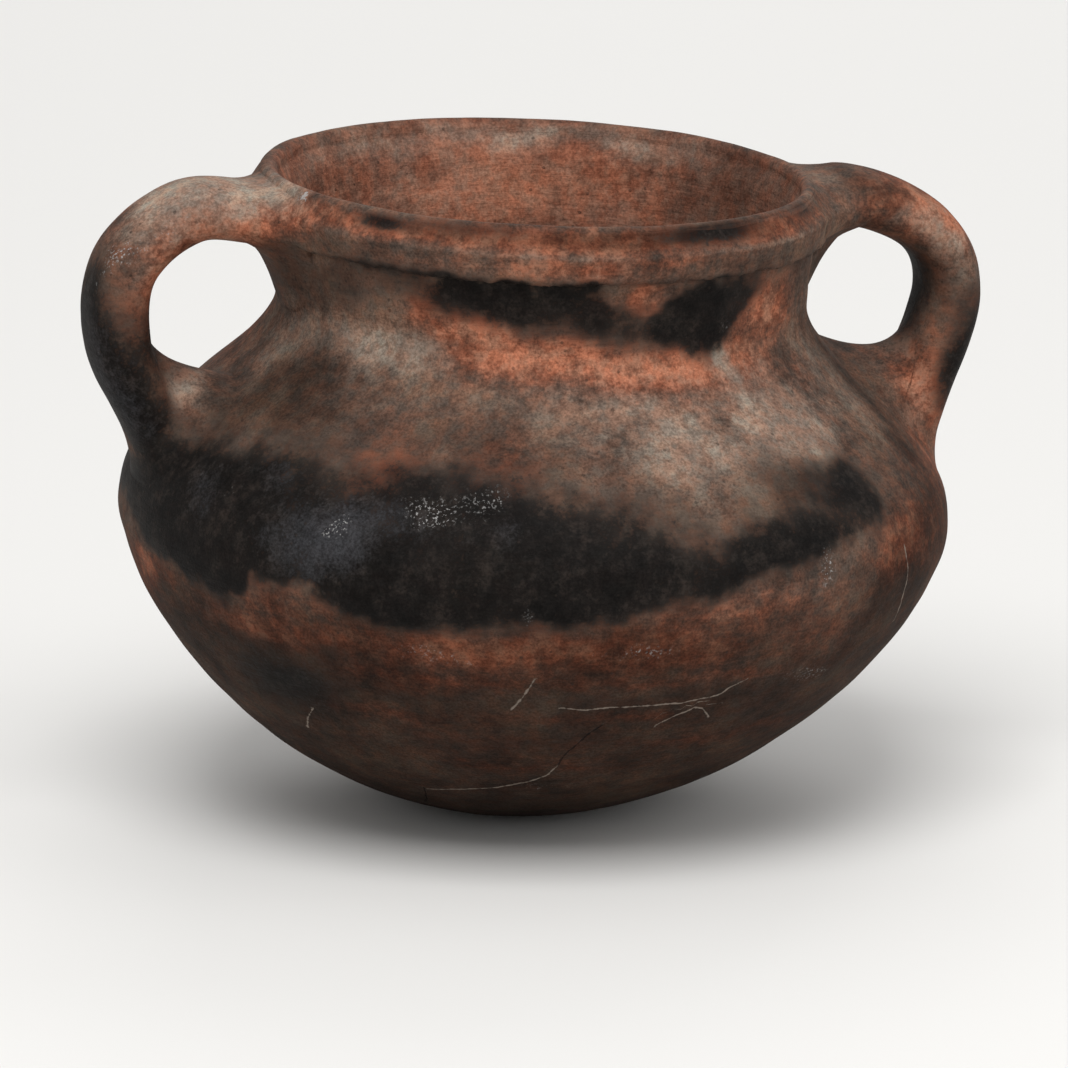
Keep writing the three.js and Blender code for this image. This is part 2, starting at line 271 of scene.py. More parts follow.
def stand(p):
    """Sets points down in the frame, from the axis frame."""
    x, y, z = p[:, 0] + sway(p[:, 2]), p[:, 1], p[:, 2]
    return np.stack(
        [
            x * math.cos(LEAN) + z * math.sin(LEAN) + AXIS_OFFSET,
            y,
            z * math.cos(LEAN) - x * math.sin(LEAN) - GROUND,
        ],
        1,
    )


def unstand(p):
    """Places of the frame's points in the axis frame."""
    x, z = p[:, 0] - AXIS_OFFSET, p[:, 2] + GROUND
    height = z * math.cos(LEAN) + x * math.sin(LEAN)
    across = x * math.cos(LEAN) - z * math.sin(LEAN) - sway(height)
    return np.stack([across, p[:, 1], height], 1)


def evened(outline, step):
    """The same outline with points about step apart."""
    length = np.concatenate([[0], np.cumsum(np.linalg.norm(np.diff(outline, axis=0), axis=1))])
    count = max(int(round(length[-1] / step)), 1)
    where = np.linspace(0, length[-1], count + 1)
    return np.stack([np.interp(where, length, outline[:, k]) for k in range(2)], 1)


def span(start, end, surface, step):
    """Points about step apart along one side of the wall."""
    return evened(surface(np.linspace(start, end, 400)), step)


# Meshes


def add_object(name, data):
    thing = bpy.data.objects.new(name, data)
    bpy.context.scene.collection.objects.link(thing)
    return thing


def make_mesh(name, points, faces, sharp=()):
    """A smooth-shaded object in metres, with the edges between the given pairs of points sharp."""
    mesh = bpy.data.meshes.new(name)
    sizes = np.array([len(face) for face in faces], np.int32)
    corners = np.concatenate([np.asarray(face, np.int32).ravel() for face in faces])
    mesh.vertices.add(len(points))
    mesh.vertices.foreach_set("co", (np.asarray(points) * MM).astype(np.float32).ravel())
    mesh.loops.add(len(corners))
    mesh.loops.foreach_set("vertex_index", corners)
    mesh.polygons.add(len(sizes))
    mesh.polygons.foreach_set("loop_start", (np.cumsum(sizes) - sizes).astype(np.int32))
    mesh.update(calc_edges=True)
    mesh.validate()
    mesh.polygons.foreach_set("use_smooth", np.ones(len(mesh.polygons), bool))
    if len(sharp):
        ends = np.zeros(len(mesh.edges) * 2, np.int32)
        mesh.edges.foreach_get("vertices", ends)
        ends = np.sort(ends.reshape(-1, 2), axis=1)
        wanted = np.sort(np.asarray(sharp), axis=1)
        key = ends[:, 0].astype(np.int64) * len(points) + ends[:, 1]
        is_sharp = np.isin(key, wanted[:, 0].astype(np.int64) * len(points) + wanted[:, 1])
        mark = mesh.attributes.new("sharp_edge", "BOOLEAN", "EDGE")
        mark.data.foreach_set("value", is_sharp)
    return add_object(name, mesh)


def closed_grid(rows, columns):
    """Quads of a grid whose rows and columns both close on themselves."""
    i, j = np.meshgrid(np.arange(rows), np.arange(columns), indexing="ij")
    here, down, right = i * columns, (i + 1) % rows * columns, (j + 1) % columns
    return np.stack([here + j, here + right, down + right, down + j], -1).reshape(-1, 4)


def open_grid(rows, columns):
    """Quads of a grid whose columns close on themselves."""
    return closed_grid(rows, columns)[:-columns]


def ring_pairs(row, columns):
    """Pairs of neighbouring points round one row of a grid."""
    j = np.arange(columns)
    return np.stack([row * columns + j, row * columns + (j + 1) % columns], 1)


def turned_points(outline, count):
    """Points of an outline turned round the axis, one row for each point of the outline."""
    angle = ring_angles(count)
    r, z = outline[:, :1], outline[:, 1:]
    return np.stack([r * np.sin(angle), -r * np.cos(angle), z + 0 * angle], -1).reshape(-1, 3)


def outline_normals(outline, closed):
    """Directions square to an outline that runs with the clay on its left."""
    if closed:
        along = np.roll(outline, -1, 0) - np.roll(outline, 1, 0)
    else:
        along = np.gradient(outline, axis=0)
    return unit(np.stack([along[:, 1], -along[:, 0]], 1))


def uneven(points, normals, count):
    """Sets turned points down in the frame and moves them out and in as a hand leaves clay."""
    points = stand(points)
    return points + turned_points(normals, count) * lumps(points)[:, None]


# Pieces of the wall


def ring_piece(name, outline, normals, edges, inner_share):
    """Painted piece from a closed outline, with the given rows of points sharp."""
    points = uneven(turned_points(outline, ROUND), normals, ROUND)
    sharp = np.vstack([ring_pairs(row, ROUND) for row in edges])
    piece = make_mesh(name, points, closed_grid(len(outline), ROUND), sharp)
    paint_wall(piece, points, np.repeat(inner_share, ROUND))
    return piece


def bowl():
    outer = span(0, BOWL_TOP, outside_at, BOWL_STEP)
    inner = span(BOWL_TOP, 0, inside_at, BOWL_INSIDE_STEP)
    outline = np.vstack([outer[1:], inner[:-1]])
    normals = np.vstack([outline_normals(outer, False)[1:], outline_normals(inner, False)[:-1]])
    points = uneven(turned_points(outline, ROUND), normals, ROUND)
    rows = len(outline)
    poles = stand(np.array([[0, 0, 0], [0, 0, inner[-1][1]]]))
    poles[:, 2] += lumps(poles) * [-1, 1]
    points = np.vstack([points, poles])
    points[:, 2] = np.maximum(points[:, 2], 0)
    top = len(outer) - 2
    sharp = np.vstack([ring_pairs(top, ROUND), ring_pairs(top + 1, ROUND)])
    piece = with_caps("clay_base_bowl", points, rows, sharp)
    inner_share = np.repeat((np.arange(rows) > top).astype(float), ROUND)
    paint_wall(piece, points, np.append(inner_share, [0, 1]))
    return piece


def with_caps(name, points, rows, sharp):
    """Grid whose first and last rings are closed by quads round the last two points."""
    j = np.arange(0, ROUND, 2)
    first, last = len(points) - 2, len(points) - 1
    a, b, c = j, j + 1, (j + 2) % ROUND
    bottom = np.stack([np.full_like(j, first), c, b, a], 1)
    base = (rows - 1) * ROUND
    top = np.stack([np.full_like(j, last), base + a, base + b, base + c], 1)
    return make_mesh(name, points, np.vstack([open_grid(rows, ROUND), bottom, top]), sharp)


def wall_piece(name, start, end):
    outer = span(start, end, outside_at, FINE)
    inner = span(end, start, inside_at, INSIDE_STEP)
    outline = np.vstack([outer, inner])
    normals = np.vstack([outline_normals(outer, False), outline_normals(inner, False)])
    edges = [0, len(outer) - 1, len(outer), len(outline) - 1]
    inner_share = np.repeat([0.0, 1.0], [len(outer), len(inner)])
    return ring_piece(name, outline, normals, edges, inner_share)


def lip_round(count):
    """The half round over the lip, from its outer to its inner side."""
    outer, inner = outside_at([LIP_FOOT])[0], inside_at(np.array([LIP_FOOT]))[0]
    middle, reach = (outer + inner) / 2, (outer - inner) / 2
    turn = np.linspace(0, math.pi, count)
    points = middle + np.cos(turn)[:, None] * reach
    points[:, 1] += LIP_ROUND * np.sin(turn)
    return points


def lip_share(outline):
    """How far round to the inside each point of an outline lies, from 0 to 1, over the lip."""
    middle = (outside_at([LIP_FOOT])[0] + inside_at(np.array([LIP_FOOT]))[0]) / 2
    turned = ease(middle[0] - outline[:, 0], *LIP_TURN)
    return np.where(outline[:, 1] > OUTSIDE[LIP_FOOT][1], turned, 0)


def collar():
    lip = lip_round(60)
    outer = span(NECK_FOOT, LIP_FOOT, outside_at, FINE)
    inner = span(LIP_FOOT, NECK_FOOT, inside_at, FINE)
    outline = np.vstack([outer, evened(lip, LIP_STEP)[1:-1], inner])
    inner_share = lip_share(outline)
    inner_share[-len(inner):] = 1
    edges = [0, len(outline) - 1]
    return ring_piece("clay_neck_collar", outline, outline_normals(outline, False), edges, inner_share)


def band_face(count):
    """The strip's face. Its top end lies just under the skin of the lip's round."""
    points = [BAND_FACE[0]] + BAND_FACE + [BAND_FACE[-1]]
    return curve_at(points, np.linspace(0, len(BAND_FACE) - 1, count))


def band():
    face = evened(band_face(200), BAND_STEP)
    back_at = LIP_FOOT - np.linspace(*BAND_BACK, 12)
    back = outside_at(back_at) - BAND_SINK * outward_at(back_at)
    outline = np.vstack([face, back])
    normals = outline_normals(outline, True)
    normals[len(face):] = 0
    count = BAND_ROUND
    points = turned_points(outline, count)
    ring = turned_points(np.array([[RAGGED_RING, 0]]), count)
    low = np.clip((RAGGED_TOP - points[:, 2]) / RAGGED_REACH, 0, 1)
    points[:, 2] += RAGGED_DEPTH * low * np.tile(layered(ring, LEDGE_RAGS), len(outline))
    points = uneven(points, normals, count)
    piece = make_mesh("clay_rim_band", points, closed_grid(len(outline), count))
    paint_wall(piece, points, np.repeat(lip_share(outline), count))
    return piece


# Distance to the wall


def wall_outline(bare_to):
    """The wall as one outline, from the base over strip and lip to the inside of the neck."""
    past_band = 7
    return np.vstack(
        [
            outside_at(np.linspace(0, bare_to, 60)),
            band_face(24),
            lip_round(24)[past_band:],
            inside_at(np.linspace(LIP_FOOT, NECK_FOOT, 12)),
        ]
    )


ENVELOPE = wall_outline(LIP_FOOT - UNDER_BAND)
SMEARED = wall_outline(LIP_FOOT - BELOW_SMEAR)


def wall_distance(points, outline):
    """Signed distance of points to a wall outline, below zero within the clay."""
    q = unstand(points)
    r, z = np.hypot(q[:, 0], q[:, 1])[:, None], q[:, 2][:, None]
    a, b = outline[:-1], outline[1:]
    ab = b - a
    share = ((r - a[:, 0]) * ab[:, 0] + (z - a[:, 1]) * ab[:, 1]) / np.maximum((ab**2).sum(1), 1e-9)
    share = np.clip(share, 0, 1)
    nearest = np.hypot(a[:, 0] + share * ab[:, 0] - r, a[:, 1] + share * ab[:, 1] - z).min(1)
    level = (z - a[:, 1]) / np.where(np.abs(ab[:, 1]) < 1e-9, 1e-9, ab[:, 1])
    inside = ((level >= 0) & (level < 1) & (a[:, 0] + level * ab[:, 0] > r)).sum(1) % 2
    return np.where(inside == 1, -nearest, nearest)


def wall_normals(points):
    """Directions square to the smeared wall, away from its clay."""
    step = 0.05
    here = wall_distance(points, SMEARED)
    slopes = [wall_distance(points + step * np.eye(3)[k], SMEARED) - here for k in range(3)]
    return unit(np.stack(slopes, 1))


# Handles


class Strap:
    """One strap handle as lines along its skin, one for each direction round its section."""

    def __init__(self, route):
        points = np.array([(x + AXIS_OFFSET, z - GROUND) for x, z in route], float)
        self.points = np.vstack([2 * points[0] - points[1], points, 2 * points[-1] - points[-2]])
        self.spans = len(points) - 1
        self.side = np.sign(points[0][0])
        middle = curve_at(self.points, np.linspace(0, self.spans, 400))
        self.length = np.linalg.norm(np.diff(middle, axis=0), axis=1).sum()

    def skin(self, share, turn):
        """Points on the bare skin at shares of the route, and the directions out of the strap."""
        at = np.clip(share, -0.02, 1.02) * self.spans
        middle = curve_at(self.points, at)
        along = unit(curve_at(self.points, at + 0.01) - curve_at(self.points, at - 0.01))
        out = np.stack([-along[:, 1] * self.side, 0 * at, along[:, 0] * self.side], 1)
        direction = out * np.cos(turn)[:, None]
        direction[:, 1] = np.sin(turn)
        across = np.abs(np.cos(turn)) / (STRAP_THICKNESS / 2)
        wide = np.abs(np.sin(turn)) / (STRAP_WIDTH / 2)
        reach = (across**STRAP_SQUARENESS + wide**STRAP_SQUARENESS) ** (-1 / STRAP_SQUARENESS)
        centre = np.stack([middle[:, 0], 0 * at, middle[:, 1]], 1)
        return centre + direction * reach[:, None], direction

    def root(self, turns, end, fillet):
        """Where each line runs into the wall, and its fillet's feet."""
        shares = np.linspace(0.5, end, 500)
        grid_share, grid_turn = np.meshgrid(shares, turns, indexing="ij")
        points, _ = self.skin(grid_share.ravel(), grid_turn.ravel())
        gap = wall_distance(points, SMEARED).reshape(grid_share.shape)
        hit = (gap < 0).argmax(0)
        columns = np.arange(len(turns))
        before, after = gap[hit - 1, columns], gap[hit, columns]
        share = shares[hit - 1] + (shares[hit] - shares[hit - 1]) * before / (before - after)
        corner, direction = self.skin(share, turns)
        facing = np.cos(turns)
        outer, edge, inner = (np.array(size, float) for size in fillet)
        side = np.where(facing[:, None] > 0, outer, inner)
        along, over = (edge + (side - edge) * facing[:, None] ** 2).T
        if end < 0.5:
            off = (np.abs((turns + math.pi) % (2 * math.pi) - math.pi) - TUCK_TURN) / TUCK_WIDTH
            over = over * (1 - TUCK * np.exp(-(off**2)))
        normal = wall_normals(corner)
        away = unit(direction - normal * np.einsum("ij,ij->i", direction, normal)[:, None])
        foot = corner + away * over[:, None]
        for _ in range(3):
            normal = wall_normals(foot)
            foot = foot - normal * (wall_distance(foot, ENVELOPE) + ROOT_SINK)[:, None]
        way = math.copysign(1, end - 0.5)
        free = share - way * along / self.length
        return {"free": free, "corner": corner, "foot": foot, "deep": foot - normal * ROOT_DEEP}


def fillet_rows(start, corner, foot, count):
    """Rows of points from start to foot on curves that bend towards corner."""
    t = np.linspace(0, 1, count + 1)[1:, None, None]
    return (1 - t) ** 2 * start + 2 * t * (1 - t) * corner + t**2 * foot


def strap_grids(side):
    """Points of the strap's skin, once smeared over the wad and once bare under it."""
    spec = HANDLES[side]
    strap = Strap(spec["route"])
    turns = ring_angles(STRAP_SIDES)
    upper = strap.root(turns, 0.0, UPPER_FILLET)
    outer, edge, (along, over) = LOWER_FILLET
    lower = strap.root(turns, 1.0, [outer, edge, (along, over + spec["wad_smear"])])
    bare = strap.root(turns, 1.0, BARE_FILLET)
    start, end = upper["free"].mean(), lower["free"].mean()
    t = np.linspace(0, 1, FREE_STEPS + 1)[:, None]
    share = start + (end - start) * t
    share = share + (upper["free"] - start) * (1 - t) ** 3 + (lower["free"] - end) * t**3
    grid_turn = np.broadcast_to(turns, share.shape)
    free, _ = strap.skin(share.ravel(), grid_turn.ravel())
    free = free.reshape(FREE_STEPS + 1, STRAP_SIDES, 3)
    facing = np.clip(-np.cos(turns), 0, 1) ** 2
    rise = wall_normals(lower["corner"]) * (spec["wad_rise"] * facing)[:, None]
    rise[:, 2] += spec["wad_lift"] * facing
    web = UPPER_WEB * ease(-np.cos(turns), *WEB_SIDES)[:, None]
    hollow = upper["corner"] + web * ((free[0] + upper["foot"]) / 2 - upper["corner"])
    head = [upper["deep"][None], fillet_rows(free[0], hollow, upper["foot"], ROOT_STEPS)[::-1], free]
    root = fillet_rows(free[-1], lower["corner"] + rise, lower["foot"], ROOT_STEPS)
    smeared = np.concatenate(head + [root, lower["deep"][None]])
    half = ROOT_STEPS // 2
    down = np.linspace(0, 1, half + 1)[1:, None]
    slide = lower["free"] + (bare["free"] - lower["free"]) * down
    skin, _ = strap.skin(slide.ravel(), np.broadcast_to(turns, slide.shape).ravel())
    skin = skin.reshape(half, STRAP_SIDES, 3)
    hidden = fillet_rows(skin[-1], bare["corner"], bare["foot"], ROOT_STEPS - half)
    under = np.concatenate(head + [skin, hidden, bare["deep"][None]])
    return smeared, under


def grid_normals(points, turning):
    along = np.gradient(points, axis=0)
    across = np.roll(points, -1, 1) - np.roll(points, 1, 1)
    return unit(np.cross(across, along) * turning)


def column_pairs(rows, columns, column, first):
    """Pairs of neighbouring points down one column of a grid, from its row first on."""
    i = np.arange(first, rows - 1)
    return np.stack([i * columns + column, (i + 1) * columns + column], 1)


def buried_rings(ring):
    """Rings that close a ring inside the wall and stay the same depth under its skin."""
    middle = ring.mean(0)
    rings = []
    for share in BURIED_RINGS:
        points = middle + (ring - middle) * share
        for _ in range(4):
            depth = wall_distance(points, ENVELOPE) + ROOT_DEEP
            points = points - wall_normals(points) * depth[:, None]
        rings.append(points)
    return np.array(rings)


def handle_and_wad(side):
    """The strap, and the wad of clay in the angle above its lower root."""
    smeared, under = strap_grids(side)
    rows, columns, _ = smeared.shape
    turning = 1 if side == "right" else -1
    relief = grid_normals(smeared, turning) * lumps(smeared.reshape(-1, 3)).reshape(rows, columns, 1)
    smeared, under = smeared + relief, under + relief
    sector = np.flatnonzero(np.abs(ring_angles(columns) - math.pi) < WAD_HALF)
    edges = (sector[0] - 1, sector[-1] + 1)
    top = rows - 1 - ROOT_STEPS - 1
    strap = smeared.copy()
    strap[top:, sector] = under[top:, sector]
    lead = buried_rings(strap[0])
    strap = np.concatenate([lead, strap])
    rows += len(lead)
    caps = [cap_quads(0, columns, True), cap_quads((rows - 1) * columns, columns, False)]
    faces = np.vstack([open_grid(rows, columns)] + caps)
    faces = faces if turning > 0 else faces[:, ::-1]
    sharp = np.vstack([column_pairs(rows, columns, edge, top + len(lead)) for edge in edges])
    handle = make_mesh("clay_handle_" + side, strap.reshape(-1, 3), faces, sharp)
    paint_handle(handle, strap.reshape(-1, 3))
    return handle, wad("clay_handle_%s_root_wad" % side, smeared[top:], under[top:], edges, turning)


def wad(name, smeared, under, edges, turning):
    """Closed wedge between the smeared skin and the bare strap under it."""
    face = smeared[:, edges[0]:edges[1] + 1]
    back = under[:, edges[0] + 1:edges[1]][:, ::-1]
    rows, wide = len(face), face.shape[1]
    ring = np.concatenate([face, back], 1)
    columns = ring.shape[1]
    faces = open_grid(rows, columns)
    own = np.arange(rows * columns)
    own[wide:columns] = np.arange(wide - 2, 0, -1)
    faces = own[faces]
    k = np.arange(wide - 1)
    base = (rows - 1) * columns
    behind = np.concatenate([[0], columns - np.arange(1, wide - 1), [wide - 1]])
    cap = base + np.stack([k, behind[k], behind[k + 1], k + 1], 1)
    faces = np.vstack([faces, cap])
    tidy = []
    for quad in faces:
        kept = list(dict.fromkeys(quad.tolist()))
        if len(kept) > 2:
            tidy.append(kept)
    if turning < 0:
        tidy = [quad[::-1] for quad in tidy]
    top = np.stack([np.arange(wide - 1), np.arange(1, wide)], 1)
    sharp = np.vstack([top, column_pairs(rows, columns, 0, 0), column_pairs(rows, columns, wide - 1, 0)])
    piece = make_mesh(name, ring.reshape(-1, 3), tidy, sharp)
    paint_handle(piece, ring.reshape(-1, 3))
    return piece


def cap_quads(first, columns, flip):
    """Closes a ring with strips of quads from side to side."""
    half = columns // 2
    k = np.arange(half - 1)
    quads = np.stack([first + k, first + k + 1, first + columns - 2 - k, first + columns - 1 - k], 1)
    return quads[:, ::-1] if flip else quads


# Marks of fire and use

# A place on the wall is an azimuth in degrees round the axis, from the viewer's side towards +X, and
# a height along the axis. Each cloud is the azimuth and height of its middle, its half breadth and
# half height, and its amount.

# Thick soot round the belly: azimuth, lower edge, upper edge and strength
SOOT_BAND = [
    (-180, 41, 62, 0.9), (-158, 45, 67, 1), (-138, 43, 71, 1), (-118, 46, 66, 0.9), (-102, 50, 60, 0.8),
    (-90, 49, 61, 0.9), (-80, 45.5, 65, 1), (-72, 43, 66, 1), (-62, 41, 66, 1), (-57, 46.5, 65.5, 1),
    (-48, 47.5, 64, 1), (-42, 42, 61, 1), (-32, 41.5, 64, 1), (-25, 43.5, 66, 1), (-15, 43, 65.5, 1),
    (-5, 45, 63.5, 1), (5, 48, 60.5, 1), (15, 50.2, 59.5, 1), (25, 52.5, 61, 1), (33, 54.5, 63, 1),
    (40, 57, 65, 0.95), (46, 60, 64, 0.3), (56, 56, 60, 0), (100, 54, 58, 0), (118, 48, 60, 0.7),
    (136, 44, 68, 1), (158, 39, 66, 1),
]
# Soot in the hollow under the lip, likewise
NECK_SOOT = [
    (-180, 85, 93, 0.9), (-160, 86, 93, 0.7), (-140, 84, 93, 1), (-122, 87, 92, 0.6), (-100, 82, 93, 0.6),
    (-84, 84, 93, 0.45), (-72, 87, 92.5, 0.3), (-62, 86.8, 92.5, 0.8), (-52, 87, 92.6, 0.7),
    (-45, 88.4, 92.8, 0.45), (-38, 87, 92.8, 0.75), (-32, 85.6, 93, 1.1), (-22, 84.8, 93, 1.15),
    (-14, 84, 93, 0.9), (-6, 83.2, 92.6, 0.8), (2, 82.2, 90.5, 0.65), (9, 82, 89.5, 0.65),
    (15, 81.6, 91, 0.9), (20, 80.6, 92, 1.1), (27, 80.8, 93, 1.2), (32, 84.5, 93.2, 1.1),
    (37, 88.5, 93.4, 0.8), (44, 91.2, 93.4, 0.6), (58, 90, 93, 0.35), (80, 86, 92, 0.5),
    (104, 84, 92.6, 0.7), (124, 87, 93, 0.5), (150, 84, 93, 1.1),
]
SOOT_CLOUDS = [
    (-48, 67, 14, 4, 0.25), (-36, 64, 9, 3.5, 0.3), (-52, 29, 7, 6, 0.42), (-62, 28, 10, 8, 0.65),
    (-36, 29.5, 12, 1.2, 0.3), (4, 31, 22, 1, 0.3), (-10, 22, 26, 1.2, 0.3), (-45, 36.5, 3, 3, 0.3),
    (-8, 29, 5, 3, 0.2), (24, 27, 7, 5, 0.25), (40, 61, 4, 4, 0.4), (28, 64, 12, 3.5, 0.25),
    (0, 5, 180, 7, 0.3), (170, 30, 22, 6, 0.35), (-130, 30, 18, 7, 0.4), (95, 34, 12, 8, 0.3),
    (-50, 100.2, 6, 1.3, 0.75), (-33, 100.6, 16, 1.1, 0.42), (22, 100.2, 14, 1.6, 0.85),
    # The ring at height 93 all round darkens the crevice under the strip's lower edge: painted shade
    (55, 100.6, 6, 1.3, 0.6), (160, 101, 40, 1.6, 0.5), (0, 93, 180, 0.9, 0.35),
]
RED_CLOUDS = [
    (-32, 84, 9, 3, 0.7), (-22, 80.5, 11, 3.2, 0.9), (0, 79, 14, 3.4, 0.75), (16, 78.5, 10, 3.2, 0.6),
    (8, 90.5, 6, 3, 0.6), (-41, 88, 5, 3.2, 0.5), (-4, 88, 5, 3, 0.3), (42, 86, 9, 5, 0.8),
    (28, 72, 20, 8, 0.22), (31, 79, 6, 4, 0.6), (-40, 64, 6, 5, 0.5), (-22, 66, 6, 5, 0.3),
    (-52, 44.5, 10, 3.5, 0.3), (-24, 38.5, 11, 3, 0.75), (-52, 38.5, 16, 2.6, 0.5), (-38, 33, 8, 3, 0.2),
    (0, 40, 18, 3.6, 0.6), (-26, 33, 14, 1.4, 0.35), (8, 34.5, 20, 1.2, 0.35), (-4, 27.5, 22, 1.3, 0.3),
    (22, 22, 18, 1.3, 0.3), (-40, 26, 14, 1.4, 0.3), (-14, 17, 20, 1.2, 0.3), (12, 46, 15, 3, 0.3),
    (46, 52, 7, 5, 0.55), (60, 52, 12, 8, 0.3), (78, 58, 10, 10, 0.35), (-84, 42, 7, 3, 0.6),
    (-96, 38, 12, 5, 0.4), (30, 40, 9, 4, 0.25), (-20, 22, 20, 3, 0.2), (110, 66, 16, 9, 0.45),
    (128, 36, 18, 4, 0.5), (165, 76, 16, 5, 0.5), (-150, 36, 22, 4, 0.6), (-112, 74, 14, 6, 0.4),
    (-58, 99.6, 22, 1.8, 0.5), (-76, 97.2, 9, 2.4, 0.6), (-10, 99.8, 34, 1.6, 0.8),
    (-22, 95.6, 18, 2, 0.25), (45, 99.4, 24, 1.8, 0.5), (-6, 95.5, 9, 2, 0.5), (12, 96.4, 8, 1.2, 0.35),
    (-168, 99, 60, 3, 0.3),
]
PALE_CLOUDS = [
    (-84, 100.5, 16, 3, 0.7), (-54, 80, 22, 4.5, 0.6), (-82, 76, 12, 6, 0.5), (-100, 66, 10, 6, 0.45),
    (32, 72, 17, 7, 0.55), (16, 65, 13, 5, 0.35), (38, 66, 8, 6, 0.4), (26.5, 80, 2.6, 2.4, 1),
    (28.5, 76, 2.5, 3, 0.3), (-6, 74, 22, 6, 0.3), (64, 74, 12, 8, 0.55), (76, 62, 8, 7, 0.2),
    # The thin pale lines at height 97.5 follow the strip's ridge on the front: partly wear of the ridge,
    # partly a painted highlight
    (4, 70, 11, 5, 0.35), (29, 34, 1.8, 1.7, 0.6), (-88, 48, 3, 3, 0.4), (-10, 97.5, 66, 0.6, 0.3),
    (-3, 94.4, 10, 0.9, 0.3), (40, 97.6, 20, 0.6, 0.3), (150, 76, 22, 6, 0.6), (-142, 79, 18, 5, 0.65),
    (104, 76, 12, 7, 0.5), (-160, 52, 8, 5, 0.3), (88, 30, 14, 6, 0.2),
]
# Painted blue-grey sheen over the soot
SHEEN_CLOUDS = [
    (-48, 54, 10, 6, 1), (-72, 57, 5, 6, 0.6), (-20, 58, 5, 4, 0.5), (-36, 58, 8, 3, 0.6),
    (-60, 62, 8, 3, 0.5), (12, 57, 8, 3, 0.3), (-150, 55, 14, 7, 0.7), (160, 54, 12, 6, 0.6),
]
FLECK_CLOUDS = [
    (-74, 101, 2.2, 1.1, 1.7), (-46, 55.6, 1.5, 1, 1.1), (-44.3, 56.8, 1.4, 0.9, 1),
    (-31, 59.5, 4.5, 2.2, 1), (-24, 62, 4, 2.6, 0.7), (-68, 58, 6, 4, 0.4), (28, 51, 3, 3.6, 0.9),
    (-17, 45, 2.5, 3, 0.5), (1, 40, 8, 1.6, 0.7), (-31, 38, 5, 2.2, 0.6), (-24, 36.5, 5, 1.6, 0.4),
    (50, 43, 3, 4, 0.4), (31, 33, 9, 2.5, 0.65), (-10, 12.5, 14, 1.6, 0.5), (-60, 82, 16, 3, 0.25),
    (29, 84, 3, 3, 0.5), (-160, 48, 12, 5, 0.6), (130, 58, 8, 4, 0.5),
]
# Grey-brown film that darkens the clay
FILM_CLOUDS = [
    (-73, 72, 12, 8, 0.55), (-62, 71, 14, 5, 0.4), (-30, 70, 16, 3, 0.2), (-20, 69, 12, 4, 0.3),
    (26, 63, 16, 3.5, 0.45), (70, 70, 13, 10, 0.55), (66, 55, 14, 8, 0.35), (-70, 87, 14, 4, 0.35),
    (-60, 95, 13, 1.8, 0.35), (0, 99.8, 66, 1.5, 0.75), (54, 52, 13, 6, 0.75), (47, 45, 8, 5, 0.7),
    (82, 49, 12, 5, 0.5), (0, 40, 24, 4, 0.3), (66, 76, 12, 6, 0.15), (34, 95, 22, 1.8, 0.4),
    (8, 100.3, 16, 1.2, 0.35), (-140, 66, 20, 8, 0.3), (160, 84, 24, 5, 0.3),
]
INSIDE_CLOUDS = {
    "soot": [
        (112, 92, 30, 9, 0.1), (0, 6, 180, 16, 0.45), (-150, 84, 20, 8, 0.1), (60, 60, 60, 14, 0.2),
    ],
    "red": [
        (178, 92, 15, 7, 0.75), (150, 92, 16, 7, 0.3), (-152, 91, 16, 7, 0.15), (-110, 92, 24, 9, 0.2),
        (20, 80, 50, 12, 0.25), (-40, 50, 60, 12, 0.2),
    ],
    "pale": [(-146, 99, 24, 3, 0.15), (160, 99.5, 40, 2, 0.3), (-20, 40, 50, 10, 0.2)],
    "film_and_shade": [
        (114, 91, 20, 9, 0.5), (-150, 88, 20, 7, 0.2), (100, 99, 60, 3, 0.3), (0, 40, 180, 30, 0.35),
    ],
}

